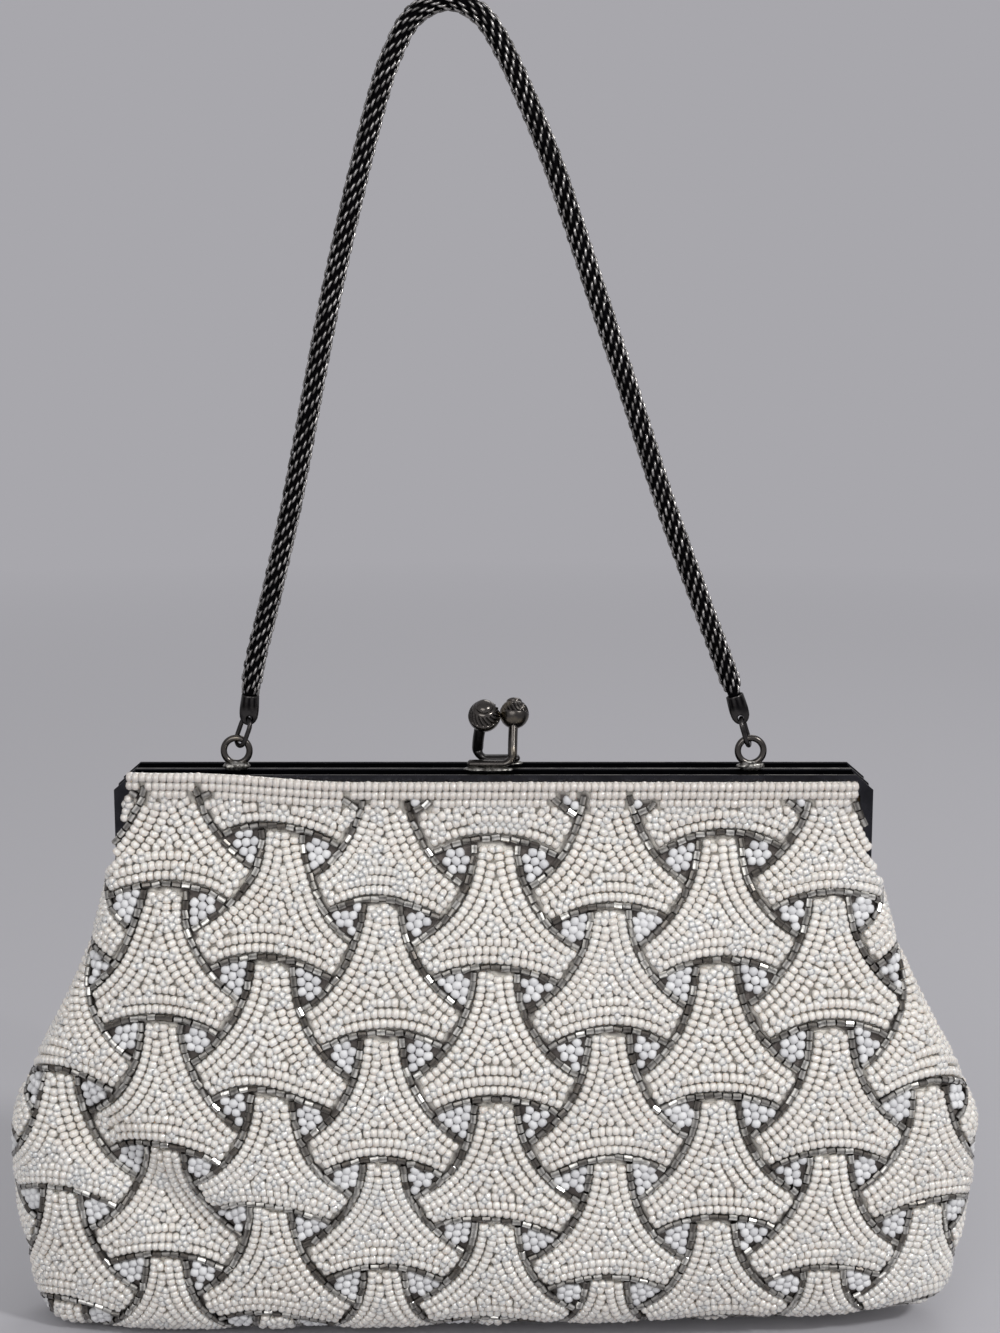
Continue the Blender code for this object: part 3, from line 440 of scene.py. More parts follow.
def skinned(name, rings, finish, closed=False, layers=()):
    """A smooth piece from rings of points, its ends closed, or joined to each other."""
    count, sides = len(rings), len(rings[0])
    faces = []
    for ring in range(count if closed else count - 1):
        start, after = ring * sides, (ring + 1) % count * sides
        for i in range(sides):
            j = (i + 1) % sides
            faces.append((start + i, start + j, after + j, after + i))
    if not closed:
        faces.append(tuple(reversed(range(sides))))
        faces.append(tuple(range((count - 1) * sides, count * sides)))
    mesh = bpy.data.meshes.new(name)
    mesh.from_pydata(np.reshape(rings, (-1, 3)).tolist(), [], faces)
    mesh.shade_smooth()
    for layer, value in layers:
        values = mesh.attributes.new(layer, "FLOAT", "POINT").data
        values.foreach_set("value", np.broadcast_to(value, (count, sides)).astype(np.float32).ravel())
    return object_from(name, mesh, finish)


def mesh_of_copies(name, shape, centres, axes, sizes, tones, flat=False):
    """One mesh of many copies of a small shape, each turned, sized and given its own tone."""
    points, faces, shades = shape
    points, shades = np.array(points), np.array(shades)
    count, each = len(centres), len(points)
    placed = centres[:, None, :] + np.einsum("vk,nk,nkj->nvj", points, sizes, axes)
    mesh = bpy.data.meshes.new(name)
    mesh.vertices.add(count * each)
    mesh.vertices.foreach_set("co", placed.ravel())
    corners = np.concatenate([np.array(face) for face in faces])
    lengths = np.array([len(face) for face in faces])
    all_corners = (np.arange(count)[:, None] * each + corners[None, :]).ravel()
    all_lengths = np.tile(lengths, count)
    mesh.loops.add(len(all_corners))
    mesh.loops.foreach_set("vertex_index", all_corners)
    mesh.polygons.add(len(all_lengths))
    starts = np.concatenate([[0], np.cumsum(all_lengths)[:-1]])
    mesh.polygons.foreach_set("loop_start", starts)
    mesh.update(calc_edges=True)
    mesh.validate()
    if flat:
        mesh.shade_flat()
    else:
        mesh.shade_smooth()
    for layer, values in (("tone", np.repeat(tones, each)), ("shade", np.tile(shades, count))):
        mesh.attributes.new(layer, "FLOAT", "POINT").data.foreach_set("value", values.astype(np.float32))
    return mesh


def turned_bead(profile, side_shades):
    """A closed bead about its hole, which runs along X, from half lengths and radii of a unit bead."""
    points, faces, shades = [], [], []
    sides = len(side_shades)
    for along, radius, shade in profile:
        for i in range(sides):
            angle = math.tau * i / sides
            points.append((along, radius * math.cos(angle), radius * math.sin(angle)))
            shades.append(max(shade, side_shades[i]))
    for ring in range(len(profile) - 1):
        for i in range(sides):
            a = ring * sides + i
            b = ring * sides + (i + 1) % sides
            faces.append((a, b, b + sides, a + sides))
    faces.append(tuple(reversed(range(sides))))
    last = (len(profile) - 1) * sides
    faces.append(tuple(last + i for i in range(sides)))
    return points, faces, shades


# A seed bead's ring shades mark its ends; the pearl finish paints them a little darker, as shade where pearls
# meet their neighbours in a row.
SEED_BEAD = turned_bead(
    ((-0.5, 0.24, 1), (-0.38, 0.42, 0.2), (0, 0.5, 0), (0.38, 0.42, 0.2), (0.5, 0.24, 1)), (0,) * 8)
# Round a bugle the shades leave two light lines along its top as painted highlight streaks, and darken its
# sides, bottom and ends as painted shade.
BUGLE_BEAD = turned_bead(
    ((-0.5, 0.46, 1), (-0.45, 0.53, 0), (0.45, 0.53, 0), (0.5, 0.46, 1)), (1, 0.1, 0.6, 0, 1, 1, 1, 1))
# A link's ends carry shade, which the chain's finish paints dark as shade where the link dips under its
# neighbours.
WIRE_LINK = turned_bead(
    ((-0.5, 0.3, 1), (-0.37, 0.44, 0.8), (-0.2, 0.5, 0), (0.2, 0.5, 0), (0.37, 0.44, 0.8), (0.5, 0.3, 1)),
    (0,) * 6)


def edge_gap(place, turn):
    """How far a place in a motif lies from the arc on one of its sides."""
    centre = ARC_REACH * np.array([math.cos(turn), math.sin(turn)])
    return np.linalg.norm(place - centre, axis=-1) - ARC_RADIUS


def tip_gap(place, turn):
    """How far a place in an arm lies from the neighbour's arc that the arm butts into."""
    centre = (ARC_REACH - MOTIF_REPEAT) * np.array([math.cos(turn), math.sin(turn)])
    return ARC_RADIUS - np.linalg.norm(place - centre, axis=-1)


def nearest_edge(place):
    return np.min([edge_gap(place, turn) for turn in ARC_TURNS], axis=0)


def nearest_tip(place):
    return np.min([tip_gap(place, turn) for turn in ARC_TURNS], axis=0)


def arc_places(turn, offset, pitch, shift, spread=math.radians(40)):
    """Places and directions at an even pitch along an arc that runs beside one side of a motif."""
    radius = ARC_RADIUS + offset
    centre = ARC_REACH * np.array([math.cos(turn), math.sin(turn)])
    count = int(spread * radius / pitch)
    angles = turn + math.pi + (np.arange(-count, count + 1) + shift) * pitch / radius
    places = centre + radius * np.column_stack([np.cos(angles), np.sin(angles)])
    return places, angles + math.pi / 2


def first_row(sizes):
    """How far a motif's first row of pearls lies from the bugles that line it."""
    return 0.49 * (sizes.bugle_width + sizes.pearl_width)


def clear_of_edges(places, edge):
    """True for places in a motif that leave its bugles free."""
    return (nearest_edge(places) > edge * 0.93) & (nearest_tip(places) > edge * 0.93)


def pearl_layout(seed, sizes):
    """The pearls of one motif: rows beside its three arcs, then single pearls where one more fits."""
    rng = np.random.default_rng(seed)
    places, turns = [], []
    edge, room = first_row(sizes), 0.98 * sizes.pearl_pitch
    for row in range(int(ARC_REACH / sizes.row_pitch)):
        for turn in ARC_TURNS:
            offset = edge + row * sizes.row_pitch
            found, directions = arc_places(turn, offset, sizes.pearl_pitch, rng.uniform(-0.5, 0.5))
            inside = clear_of_edges(found, edge)
            for place, direction in zip(found[inside], directions[inside]):
                if not places or np.min(np.linalg.norm(np.array(places) - place, axis=1)) > room:
                    places.append(place)
                    turns.append(direction)
    spots = rng.uniform(-MOTIF_REPEAT, MOTIF_REPEAT, (SPOT_TRIES, 2)) * 0.75
    spots = spots[clear_of_edges(spots, edge)]
    gaps = np.min(np.linalg.norm(spots[:, None] - np.array(places), axis=2), axis=1)
    close = 0.78 * sizes.pearl_pitch
    while np.any(gaps > close):
        pick = np.argmin(np.where(gaps > close, gaps, np.inf))
        spot = spots[pick]
        places.append(spot)
        turns.append(ARC_TURNS[np.argmin([edge_gap(spot, turn) for turn in ARC_TURNS])] + math.pi / 2)
        gaps = np.minimum(gaps, np.linalg.norm(spots - spot, axis=1))
    return np.array(places), np.array(turns)


def bugle_layout(seed, sizes):
    """The bugles that line a motif's three arcs from one arm's corner to the next."""
    rng = np.random.default_rng(seed)
    places, turns = [], []
    for turn in ARC_TURNS:
        fine, _ = arc_places(turn, 0, 0.1 * MM, 0)
        others = [other for other in ARC_TURNS if other != turn]
        free = np.min([tip_gap(fine, other) for other in others], axis=0) > sizes.bugle_width * 0.55
        span = np.count_nonzero(free) * 0.1 * MM
        count = round(span / sizes.bugle_pitch)
        pitch = span / count
        found, directions = arc_places(turn, 0, pitch, 0.5 * (count % 2 == 0), span / ARC_RADIUS)
        middle = np.argsort(np.linalg.norm(found, axis=1))[:count]
        places.append(found[middle] + rng.normal(0, 0.06 * MM, (count, 2)))
        turns.append(directions[middle] + rng.normal(0, 0.06, count))
    return np.vstack(places), np.concatenate(turns)


def off_middle(places):
    return np.linalg.norm(places.mean(axis=0)) if len(places) else math.inf


def white_layout(rng, kind, sizes):
    """The white beads of one gap: the fullest of several tries at laying them close together."""
    best = np.zeros((0, 2))
    pitch = sizes.white_width * 0.93
    room = ARC_RADIUS - (sizes.bugle_width + sizes.white_width) * 0.37
    centres = [GAP_ARC_REACH * np.array([math.cos(turn), math.sin(turn)]) for turn in GAP_TURNS[kind]]
    cells = np.array([(i + 0.5 * (j % 2), j * math.sqrt(0.75)) for i in range(-4, 5) for j in range(-4, 5)])
    for _ in range(WHITE_TRIES):
        angle = rng.uniform(0, math.tau)
        turn = np.array([[math.cos(angle), -math.sin(angle)], [math.sin(angle), math.cos(angle)]])
        found = (cells * pitch + rng.uniform(-pitch, pitch, 2)) @ turn.T
        held = np.max([np.linalg.norm(found - centre, axis=1) for centre in centres], axis=0) < room
        found = found[held]
        if len(found) > len(best) or len(found) == len(best) and off_middle(found) < off_middle(best):
            best = found
    return best - best.mean(axis=0) * 0.6


def motif_centres():
    """The lattice of motifs, as places across and up the cloth."""
    centres = []
    for column in range(-COLUMN_COUNT, COLUMN_COUNT + 1):
        for row in range(-1, ROW_COUNT):
            drop = FIRST_MOTIF_DROP + MOTIF_REPEAT * (row + 0.5 * (column % 2))
            centres.append((COLUMN_SHIFT + COLUMN_PITCH * column, -drop))
    return np.array(centres)


def stray(places, high):
    """Hand work is never even: the pattern wanders a little over the cloth."""
    noise.seed_set(WANDER_SEED)
    moved = []
    for across, up in places:
        drift = noise.noise_vector(Vector((across / WANDER_REPEAT, up / WANDER_REPEAT, high)))
        moved.append((across + WANDER * drift.x, up + WANDER * drift.y))
    return np.array(moved)


def settled(word, places):
    """Places as the photographed cloth has them, out of their even lattice; the back only wanders."""
    places = stray(places, WANDER_PLACE[word])
    if word == "back":
        return places
    across, down = places[:, 0], -places[:, 1]
    left = smooth_step((-across - 45 * MM) / (25 * MM))
    crowd = CROWD * smooth_step((-across - 18 * MM) / (30 * MM))
    crowd *= 1 - smooth_step((down - 22 * MM) / (20 * MM))
    sag = SAG * np.exp(-((across - SAG_ACROSS) / SAG_WIDE) ** 2 - ((down - SAG_DROP) / SAG_TALL) ** 2)
    long = RUN_LONG * smooth_step((down - 40 * MM) / (40 * MM)) * (1 - left)
    long -= LOW_RISE * smooth_step((down - 92 * MM) / (26 * MM)) * smooth_step((18 * MM - across) / (40 * MM))
    return np.column_stack([across + SHIFT_RIGHT + crowd, -(down + sag + long - LEFT_RISE * left)])


def cloth_pull(word, across, down):
    """How far the front's cloth is drawn up over the frame towards its left end."""
    if word == "back":
        return np.zeros(np.shape(across))
    left = smooth_step((-across - PULL_START) / PULL_RUN)
    return PULL * left * (1 - smooth_step(down / PULL_DROP))


def length_prop(name, description, size):
    """A length's setting, its default given in millimetres."""
    return bpy.props.FloatProperty(
        name=name, description=description, default=size * MM, unit="LENGTH", precision=5)


def colour_prop(name, description, code):
    """A colour's setting, its default given as sRGB hex."""
    return bpy.props.FloatVectorProperty(
        name=name, description=description, default=linear(code), size=4, subtype="COLOR")


class BagSizes(bpy.types.PropertyGroup):
    pearl_width: length_prop("Pearl width", "Width of a pearl bead across its hole", 2.74)
    pearl_length: length_prop("Pearl length", "Length of a pearl bead along its hole", 1.9)
    pearl_pitch: length_prop("Pearl pitch", "Distance between pearls along a row", 1.8)
    row_pitch: length_prop("Row pitch", "Distance between neighbouring rows of pearls", 2.42)
    bugle_width: length_prop("Bugle width", "Width of a bugle bead", 1.65)
    bugle_length: length_prop("Bugle length", "Length of a bugle bead", 2.25)
    bugle_pitch: length_prop("Bugle pitch", "Distance between bugles along an outline", 2.4)
    white_width: length_prop("White bead width", "Width of an opaque white bead", 2.42)
    wire_width: length_prop("Chain wire", "Width of the wire that the handle is woven from", 0.62)
    link_pitch: length_prop("Chain link pitch", "Distance along the handle between links in line", 3.4)
    links_round: bpy.props.IntProperty(
        name="Links round", description="Links round the handle", default=14)
    cloth_thickness: length_prop("Cloth thickness", "Thickness of the ground cloth and the satin", 0.3)


class BagColours(bpy.types.PropertyGroup):
    pearl: colour_prop("Pearl", "Lustre of the pearl beads", "#EAE6E0")
    pearl_shade: colour_prop("Pearl shade", "The darkest of the pearl beads", "#D6D1CB")
    white: colour_prop("White glass", "Opaque white beads", "#DEDEDF")
    silver: colour_prop("Silver lining", "The silver that shows through the bugles", "#F2F0EA")
    smoke: colour_prop("Smoky glass", "The darkest of the bugles", "#655F58")
    # The ground colour shows only where the cloth lies bare; it holds painted shade besides the thread's own
    # dark tone.
    ground: colour_prop("Ground cloth", "Cotton that the beads are sewn on", "#6E6764")
    satin: colour_prop("Satin", "Lining and pocket", "#DDD5C4")
    gunmetal: colour_prop("Gunmetal", "Blackened plate of the frame", "#3A3A3E")
    # The light line painted along each of the frame's ridges as a highlight.
    ridge_highlight: colour_prop("Worn edge", "Where the black plate is rubbed through", "#B4B0A8")
    pewter: colour_prop("Pewter", "Aged plate of the clasp, rings and links", "#625E5A")
    wire: colour_prop("Chain wire", "Polished crowns of the woven chain", "#B4B1AE")
    solder: colour_prop("Solder", "Dull tin solder", "#B6B4AE")
    paper: colour_prop("Paper cord", "Twisted kraft paper", "#A98C66")
    floor: colour_prop("Floor", "Floor and backdrop", "#A8A7AC")


def node(tree, kind, inputs=(), **settings):
    """Adds a node, sets it, and fills its inputs with values or with other nodes' outputs."""
    made = tree.nodes.new(kind)
    for name, value in settings.items():
        setattr(made, name, value)
    for name, value in dict(inputs).items():
        if isinstance(value, bpy.types.NodeSocket):
            tree.links.new(value, made.inputs[name])
        else:
            made.inputs[name].default_value = value
    return made


def principled(name, **values):
    """A new material with its shader's plain values set, and its nodes."""
    made = bpy.data.materials.new(name)
    made.use_nodes = True
    shader = made.node_tree.nodes["Principled BSDF"]
    for label, value in values.items():
        shader.inputs[label.replace("_", " ")].default_value = value
    return made, made.node_tree


def joined(made, **outputs):
    """The material, once nodes' outputs are joined to its shader's sockets."""
    tree = made.node_tree
    for label, output in outputs.items():
        tree.links.new(output, tree.nodes["Principled BSDF"].inputs[label.replace("_", " ")])
    return made


def mixed(tree, share, first, second, blend="MIX"):
    """A colour between two, as a node's output."""
    made = node(tree, "ShaderNodeMix", {0: share, 6: first, 7: second}, data_type="RGBA", blend_type=blend)
    return made.outputs[2]


def ranged(tree, value, low, high, start=0.0, end=1.0):
    """A value carried from one range to another, and held inside it."""
    made = node(tree, "ShaderNodeMapRange", {
        "Value": value, "From Min": low, "From Max": high, "To Min": start, "To Max": end})
    return made.outputs["Result"]


def reckoned(tree, operation, *values):
    """A value worked out from one or two others."""
    return node(tree, "ShaderNodeMath", enumerate(values), operation=operation).outputs[0]


def carried(tree, name):
    """A value that the mesh carries at each of its points."""
    return node(tree, "ShaderNodeAttribute", attribute_name=name).outputs["Fac"]


def own_place(tree):
    return node(tree, "ShaderNodeTexCoord").outputs["Object"]


def object_noise(tree, size, detail=3.0):
    """Soft noise on the piece's own coordinates, its patches about as wide as the size given."""
    return node(tree, "ShaderNodeTexNoise", {
        "Vector": own_place(tree), "Scale": 1 / size, "Detail": detail}).outputs["Fac"]


def pearl_glass(colours):
    """Pearl-coated pressed glass: a soft white body under a bright, tight gloss, greyed near the frame by
    painted shadow and handling grime.
    """
    made, tree = principled(
        "pearl_coated_pressed_glass", Roughness=0.26, IOR=1.6, Coat_Weight=1.0, Coat_IOR=2.4,
        Coat_Roughness=0.06, Subsurface_Weight=0.9, Subsurface_Radius=(1.0, 0.9, 0.8),
        Subsurface_Scale=1.6 * MM)
    body = mixed(tree, carried(tree, "tone"), colours.pearl_shade, colours.pearl)
    patches = ranged(tree, object_noise(tree, 26 * MM), 0.35, 0.7)
    aged = mixed(tree, patches, (1.0, 0.985, 0.97, 1), (0.93, 0.915, 0.9, 1))
    body = mixed(tree, 1.0, body, aged, "MULTIPLY")
    # Towards the frame's top the pearls turn greyer: partly a painted shadow of the frame, partly grime from
    # handling.
    high = node(tree, "ShaderNodeSeparateXYZ", {0: own_place(tree)}).outputs["Z"]
    frame_shadow_and_grime = ranged(tree, high, ORIGIN.z - 11 * MM, ORIGIN.z - 5 * MM, 0.0, 0.55)
    body = mixed(tree, frame_shadow_and_grime, body, linear("#B3ABA5"))
    # Each pearl's ends are painted a little darker, as shade where it meets its neighbours along the row.
    return joined(made, Base_Color=mixed(tree, carried(tree, "shade"), body, linear("#D2CCC4")))


def opaque_glass(colours):
    """Opaque white pressed glass: an even milk white, etched nearly matt."""
    made, tree = principled("opaque_white_pressed_glass", Roughness=0.5, IOR=1.45)
    return joined(made, Base_Color=mixed(tree, carried(tree, "tone"), linear("#C8C8CA"), colours.white))


def silver_lined_glass(colours):
    """Silver-lined cut glass tube: smoky, with two painted highlight streaks along it, and painted shade on
    its sides and cut ends.
    """
    made, tree = principled(
        "silver_lined_cut_glass", Roughness=0.24, Metallic=0.6, Coat_Weight=0.6, Coat_Roughness=0.05)
    body = mixed(tree, carried(tree, "tone"), colours.smoke, colours.silver)
    # Random dark patches are painted on the glass as its uneven reflections.
    painted_reflection_patches = ranged(tree, object_noise(tree, 1.1 * MM), 0.3, 0.55, 0.6, 0.0)
    body = mixed(tree, painted_reflection_patches, body, linear("#3B3833"))
    # The shade attribute paints the tube's sides and ends dark as shade, leaving two light lines as painted
    # highlights.
    sides = ranged(tree, carried(tree, "shade"), 0.1, 0.9)
    return joined(made, Base_Color=mixed(tree, sides, body, linear("#24201D")))


def weave_bump(tree, pitch, strength):
    """Threads over and under at a real pitch, read from the cloth's own flat map in metres."""
    flat = node(tree, "ShaderNodeUVMap", uv_map="flat").outputs["UV"]
    waves = [node(
        tree, "ShaderNodeTexWave", {"Vector": flat, "Scale": 1 / pitch / 3.2, "Distortion": 0.4},
        bands_direction=direction).outputs["Fac"] for direction in ("X", "Y")]
    height = reckoned(tree, "MAXIMUM", *waves)
    return node(tree, "ShaderNodeBump", {
        "Height": height, "Strength": strength, "Distance": 0.1 * MM}).outputs["Normal"]


def cotton_ground(colours):
    """Plain-woven cotton: painted light under the pearls, and greyed and dull where it lies bare between
    them, partly by its darker thread and partly by painted shade.
    """
    made, tree = principled("plain_woven_cotton", Roughness=0.95, Sheen_Weight=0.1)
    patches = ranged(tree, object_noise(tree, 9 * MM), 0.3, 0.7)
    shaded_bare_cloth = mixed(tree, patches, colours.ground, linear("#59534F"))
    # Under the pearls the cloth is painted light, standing in for light that passes through them; where it
    # lies bare it keeps its darker tone of painted shade.
    body = mixed(tree, carried(tree, "bare"), linear("#EBE6DE"), shaded_bare_cloth)
    return joined(made, Base_Color=body, Normal=weave_bump(tree, 0.5 * MM, 0.7))


def ivory_satin(colours):
    """Satin-woven rayon: long floats that give a soft sheen, a little yellowed."""
    made, tree = principled(
        "satin_woven_rayon", Roughness=0.42, Sheen_Weight=0.25, Sheen_Roughness=0.4, Anisotropic=0.4)
    patches = ranged(tree, object_noise(tree, 30 * MM), 0.35, 0.7)
    body = mixed(tree, patches, colours.satin, linear("#CDC2AC"))
    return joined(made, Base_Color=body, Normal=weave_bump(tree, 0.35 * MM, 0.25))


def blackened_steel(colours):
    """Rolled steel under black nickel: near black and glossy, with a painted highlight line along each ridge.
    """
    made, tree = principled("black_nickel_plated_steel", Metallic=1.0)
    deep = node(tree, "ShaderNodeSeparateXYZ", {0: own_place(tree)}).outputs["Y"]
    deep = reckoned(tree, "ABSOLUTE", reckoned(tree, "SUBTRACT", deep, ORIGIN.y))
    # A thin light line on each ridge is a painted highlight, its strength varied in patches by noise.
    lines = []
    for ridge in RIDGES:
        off = reckoned(tree, "ABSOLUTE", reckoned(tree, "SUBTRACT", deep, ridge))
        lines.append(ranged(tree, off, 0.1 * MM, 0.22 * MM, 1.0, 0.0))
    patchy = object_noise(tree, 5 * MM, 5.0)
    wear_and_highlight = ranged(tree, patchy, 0.3, 0.6, 0.65, 1.0)
    ridge_highlight_lines = reckoned(tree, "MULTIPLY", reckoned(tree, "MAXIMUM", *lines), wear_and_highlight)
    dull = mixed(tree, ranged(tree, patchy, 0.35, 0.7), colours.gunmetal, linear("#29292C"))
    return joined(
        made, Base_Color=mixed(tree, ridge_highlight_lines, dull, colours.ridge_highlight),
        Specular_Tint=mixed(tree, ridge_highlight_lines, linear("#5C5C60"), (1, 1, 1, 1)),
        Roughness=ranged(tree, patchy, 0.3, 0.7, 0.2, 0.36))


def blackened_brass(colours):
    """Drawn brass under black nickel: dark grey, a little lighter where it has rubbed, and painted near black
    as shade in the caps' crimp folds.
    """
    made, tree = principled("black_nickel_plated_brass", Metallic=1.0)
    patchy = object_noise(tree, 3 * MM)
    body = mixed(tree, ranged(tree, patchy, 0.42, 0.68), linear("#454342"), linear("#2A292A"))
    # The shade attribute paints the caps' crimp folds near black, as shade in the folds.
    body = mixed(tree, carried(tree, "shade"), body, linear("#121113"))
    return joined(made, Base_Color=body, Roughness=ranged(tree, patchy, 0.3, 0.7, 0.26, 0.42))


def aged_pewter(colours):
    """Tumbled white metal, darkened with age: soft grey, black in its knurl grooves as painted shade, brassy
    where rubbed.
    """
    made, tree = principled("aged_tumbled_pewter", Metallic=1.0)
    patchy = object_noise(tree, 5 * MM, 2.0)
    body = mixed(tree, ranged(tree, patchy, 0.36, 0.66), colours.pewter, linear("#4A4744"))
    # The shade attribute paints the knurl grooves near black, as shade in them.
    body = mixed(tree, carried(tree, "shade"), body, linear("#0D0C0C"))
    brassy = ranged(tree, object_noise(tree, 7 * MM, 2.0), 0.58, 0.66, 0.0, 0.35)
    body = mixed(tree, brassy, body, linear("#9C917C"))
    return joined(made, Base_Color=body, Roughness=ranged(tree, patchy, 0.3, 0.7, 0.17, 0.32))


def tin_solder(colours):
    """Tin solder, flowed and left: pale, dull and lumpy, with a few bright spots."""
    made, tree = principled("flowed_tin_solder", Metallic=0.9)
    patchy = object_noise(tree, 0.9 * MM, 5.0)
    bump = node(tree, "ShaderNodeBump", {"Height": patchy, "Strength": 0.5, "Distance": 0.15 * MM})
    return joined(
        made, Base_Color=mixed(tree, ranged(tree, patchy, 0.42, 0.58), colours.solder, linear("#4E4C49")),
        Roughness=ranged(tree, patchy, 0.3, 0.7, 0.25, 0.5), Normal=bump.outputs["Normal"])


def chain_wire(colours):
    """Drawn steel wire under black nickel: each crown polished by wear and left light, the link ends and the
    core painted near black as shade.
    """
    made, tree = principled("black_nickel_drawn_wire", Metallic=1.0)
    shade = carried(tree, "shade")
    wear_and_highlight = mixed(tree, carried(tree, "tone"), linear("#3E3C3A"), colours.wire)
    # The shade attribute paints link ends and the core near black as shade; the crowns keep their worn, light
    # tone.
    return joined(
        made, Base_Color=mixed(tree, shade, wear_and_highlight, linear("#0E0D0F")),
        Roughness=ranged(tree, shade, 0.0, 1.0, 0.3, 0.75))


def kraft_paper(colours):
    """Twisted kraft paper: matt brown with a fine crease along the twist."""
    made, tree = principled("twisted_kraft_paper", Roughness=0.9)
    patches = ranged(tree, object_noise(tree, 3 * MM), 0.35, 0.7)
    return joined(made, Base_Color=mixed(tree, patches, colours.paper, linear("#8B6F4C")))


def along(lean):
    """The direction along a hanging piece that leans from straight up towards +X."""
    return Vector((math.sin(lean), 0, math.cos(lean)))


def cap_eye(word):
    """Where a link sways in its cap."""
    return Vector(JOINTS[f"{word}_link_sway"]["pos_m"])


def handle_route():
    """The handle's centreline, from the left cap's mouth over the top to the right cap's."""
    left_way, right_way = along(CAP_LEAN["left"]), along(CAP_LEAN["right"])
    left, right = cap_eye("left") + CAP_REACH * left_way, cap_eye("right") + CAP_REACH * right_way
    start, end = left - MOUTH_SINK * left_way, right - MOUTH_SINK * right_way
    middle = []
    for across, up in ROUTE_SHARES:
        middle.append(left.lerp(right, across) + Vector((0, 0, up * HANDLE_RISE)))
    control = [start, start + CHAIN_LEAD * left_way, *middle, end + CHAIN_LEAD * right_way, end]
    return smooth_route(np.array([tuple(point) for point in control]), 0.85 * MM)


def smooth_route(control, step):
    """Points at an even step along a smooth curve through the control points."""
    padded = np.vstack([2 * control[0] - control[1], control, 2 * control[-1] - control[-2]])
    fine = []
    for i in range(1, len(padded) - 2):
        before, start, end, after = padded[i - 1:i + 3]
        for t in np.linspace(0, 1, 24, endpoint=False):
            fine.append(0.5 * (
                2 * start + (end - before) * t + (2 * before - 5 * start + 4 * end - after) * t ** 2
                + (3 * start - before - 3 * end + after) * t ** 3
            ))
    return even_route(np.array([*fine, control[-1]]), step)


def reach_along(points):
    """How far along a line each of its points lies."""
    return np.concatenate([[0], np.cumsum(np.linalg.norm(np.diff(points, axis=0), axis=1))])


def even_route(points, step):
    """The same line with its points set at an even step."""
    reach = reach_along(points)
    places = np.linspace(0, reach[-1], round(reach[-1] / step) + 1)
    return np.column_stack([np.interp(places, reach, points[:, k]) for k in range(3)])


class BAG_OT_camera(bpy.types.Operator):
    """Sets the camera where the bag was seen from: level with its handle, looking a little down"""
    bl_idname = "bag.camera"
    bl_label = "Camera"

    def execute(self, context):
        bpy.ops.object.camera_add(location=ORIGIN + Vector(CAMERA_PLACE), rotation=(CAMERA_TURN, 0, 0))
        camera = context.object
        camera.name = "camera"
        camera.data.lens = 60
        camera.data.sensor_width = 36
        camera.data.clip_start = 10 * MM
        context.scene.camera = camera
        return {"FINISHED"}


def link_places(length, sizes, rng):
    """How far along the handle and how far round it each link of the weave lies."""
    places, spins = [], []
    for column in range(sizes.links_round):
        shift = column * CHAIN_STAGGER % 1
        count = int(length / sizes.link_pitch - shift)
        places.append((np.arange(count) + shift + 0.4) * sizes.link_pitch)
        spins.append(np.full(count, math.tau * column / sizes.links_round))
    places = np.concatenate(places)
    places += rng.normal(0, 0.07 * MM, len(places))
    spins = np.concatenate(spins) + rng.normal(0, 0.04, len(places))
    kept = (places > 0.2 * sizes.link_pitch) & (places < length - 0.2 * sizes.link_pitch)
    return places[kept], spins[kept]


class BAG_OT_handle(bpy.types.Operator):
    """Weaves the handle: a tube of small wire links over a core painted dark as the shade inside the weave"""
    bl_idname = "bag.handle"
    bl_label = "Woven chain handle"

    def execute(self, context):
        sizes, finish = context.scene.bag_sizes, chain_wire(context.scene.bag_colours)
        route = handle_route()
        reach = reach_along(route)
        length = reach[-1]
        side = np.array([0.0, 1.0, 0.0])

        def taper(place):
            """The weave draws in where the end caps are crimped on it."""
            near = np.minimum(place, length - place)
            return 1 - 0.24 * (1 - smooth_step(near / CRIMP_RUN))

        def at(place):
            return np.column_stack([np.interp(place, reach, route[:, k]) for k in range(3)])

        core = ((CHAIN_RADIUS - 1.15 * sizes.wire_width) * taper(reach))[:, None]
        rings = swept_rings(route, side, core, core, 14)
        # The core is painted fully dark, standing in for the shade inside the woven tube.
        cord = skinned("handle_weave", rings, finish, layers=(("shade", 1.0), ("tone", 0.0)))
        rng = np.random.default_rng(7)
        places, spins = link_places(length, sizes, rng)
        way = at(places + MM / 2) - at(places - MM / 2)
        way /= np.linalg.norm(way, axis=1, keepdims=True)
        out = np.cos(spins)[:, None] * np.cross(side, way) + np.sin(spins)[:, None] * side
        lean = CHAIN_SLANT + rng.normal(0, 0.05, len(places))
        along = np.cos(lean)[:, None] * way + np.sin(lean)[:, None] * np.cross(way, out)
        centres = at(places) + out * ((CHAIN_RADIUS - sizes.wire_width / 2) * taper(places))[:, None]
        points, faces, shades = WIRE_LINK
        points = np.array(points)
        points[:, 2] += np.repeat(LINK_SINK, len(points) // len(LINK_SINK))
        axes = np.stack([along, np.cross(out, along), out], axis=1)
        scale = np.array([sizes.link_pitch * 0.84, sizes.wire_width, sizes.wire_width])
        mesh = mesh_of_copies(
            "links", (points, faces, shades), centres, axes, np.tile(scale, (len(places), 1)),
            rng.uniform(0.2, 1.0, len(places)))
        links = object_from("links", mesh, finish)
        clear_selection()
        links.select_set(True)
        cord.select_set(True)
        context.view_layer.objects.active = cord
        bpy.ops.object.join()
        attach(cord, "handle")
        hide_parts("handle_chain")
        return {"FINISHED"}


def bend_with_frame(obj):
    """Bakes the cloth's place into its mesh."""
    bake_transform(obj)


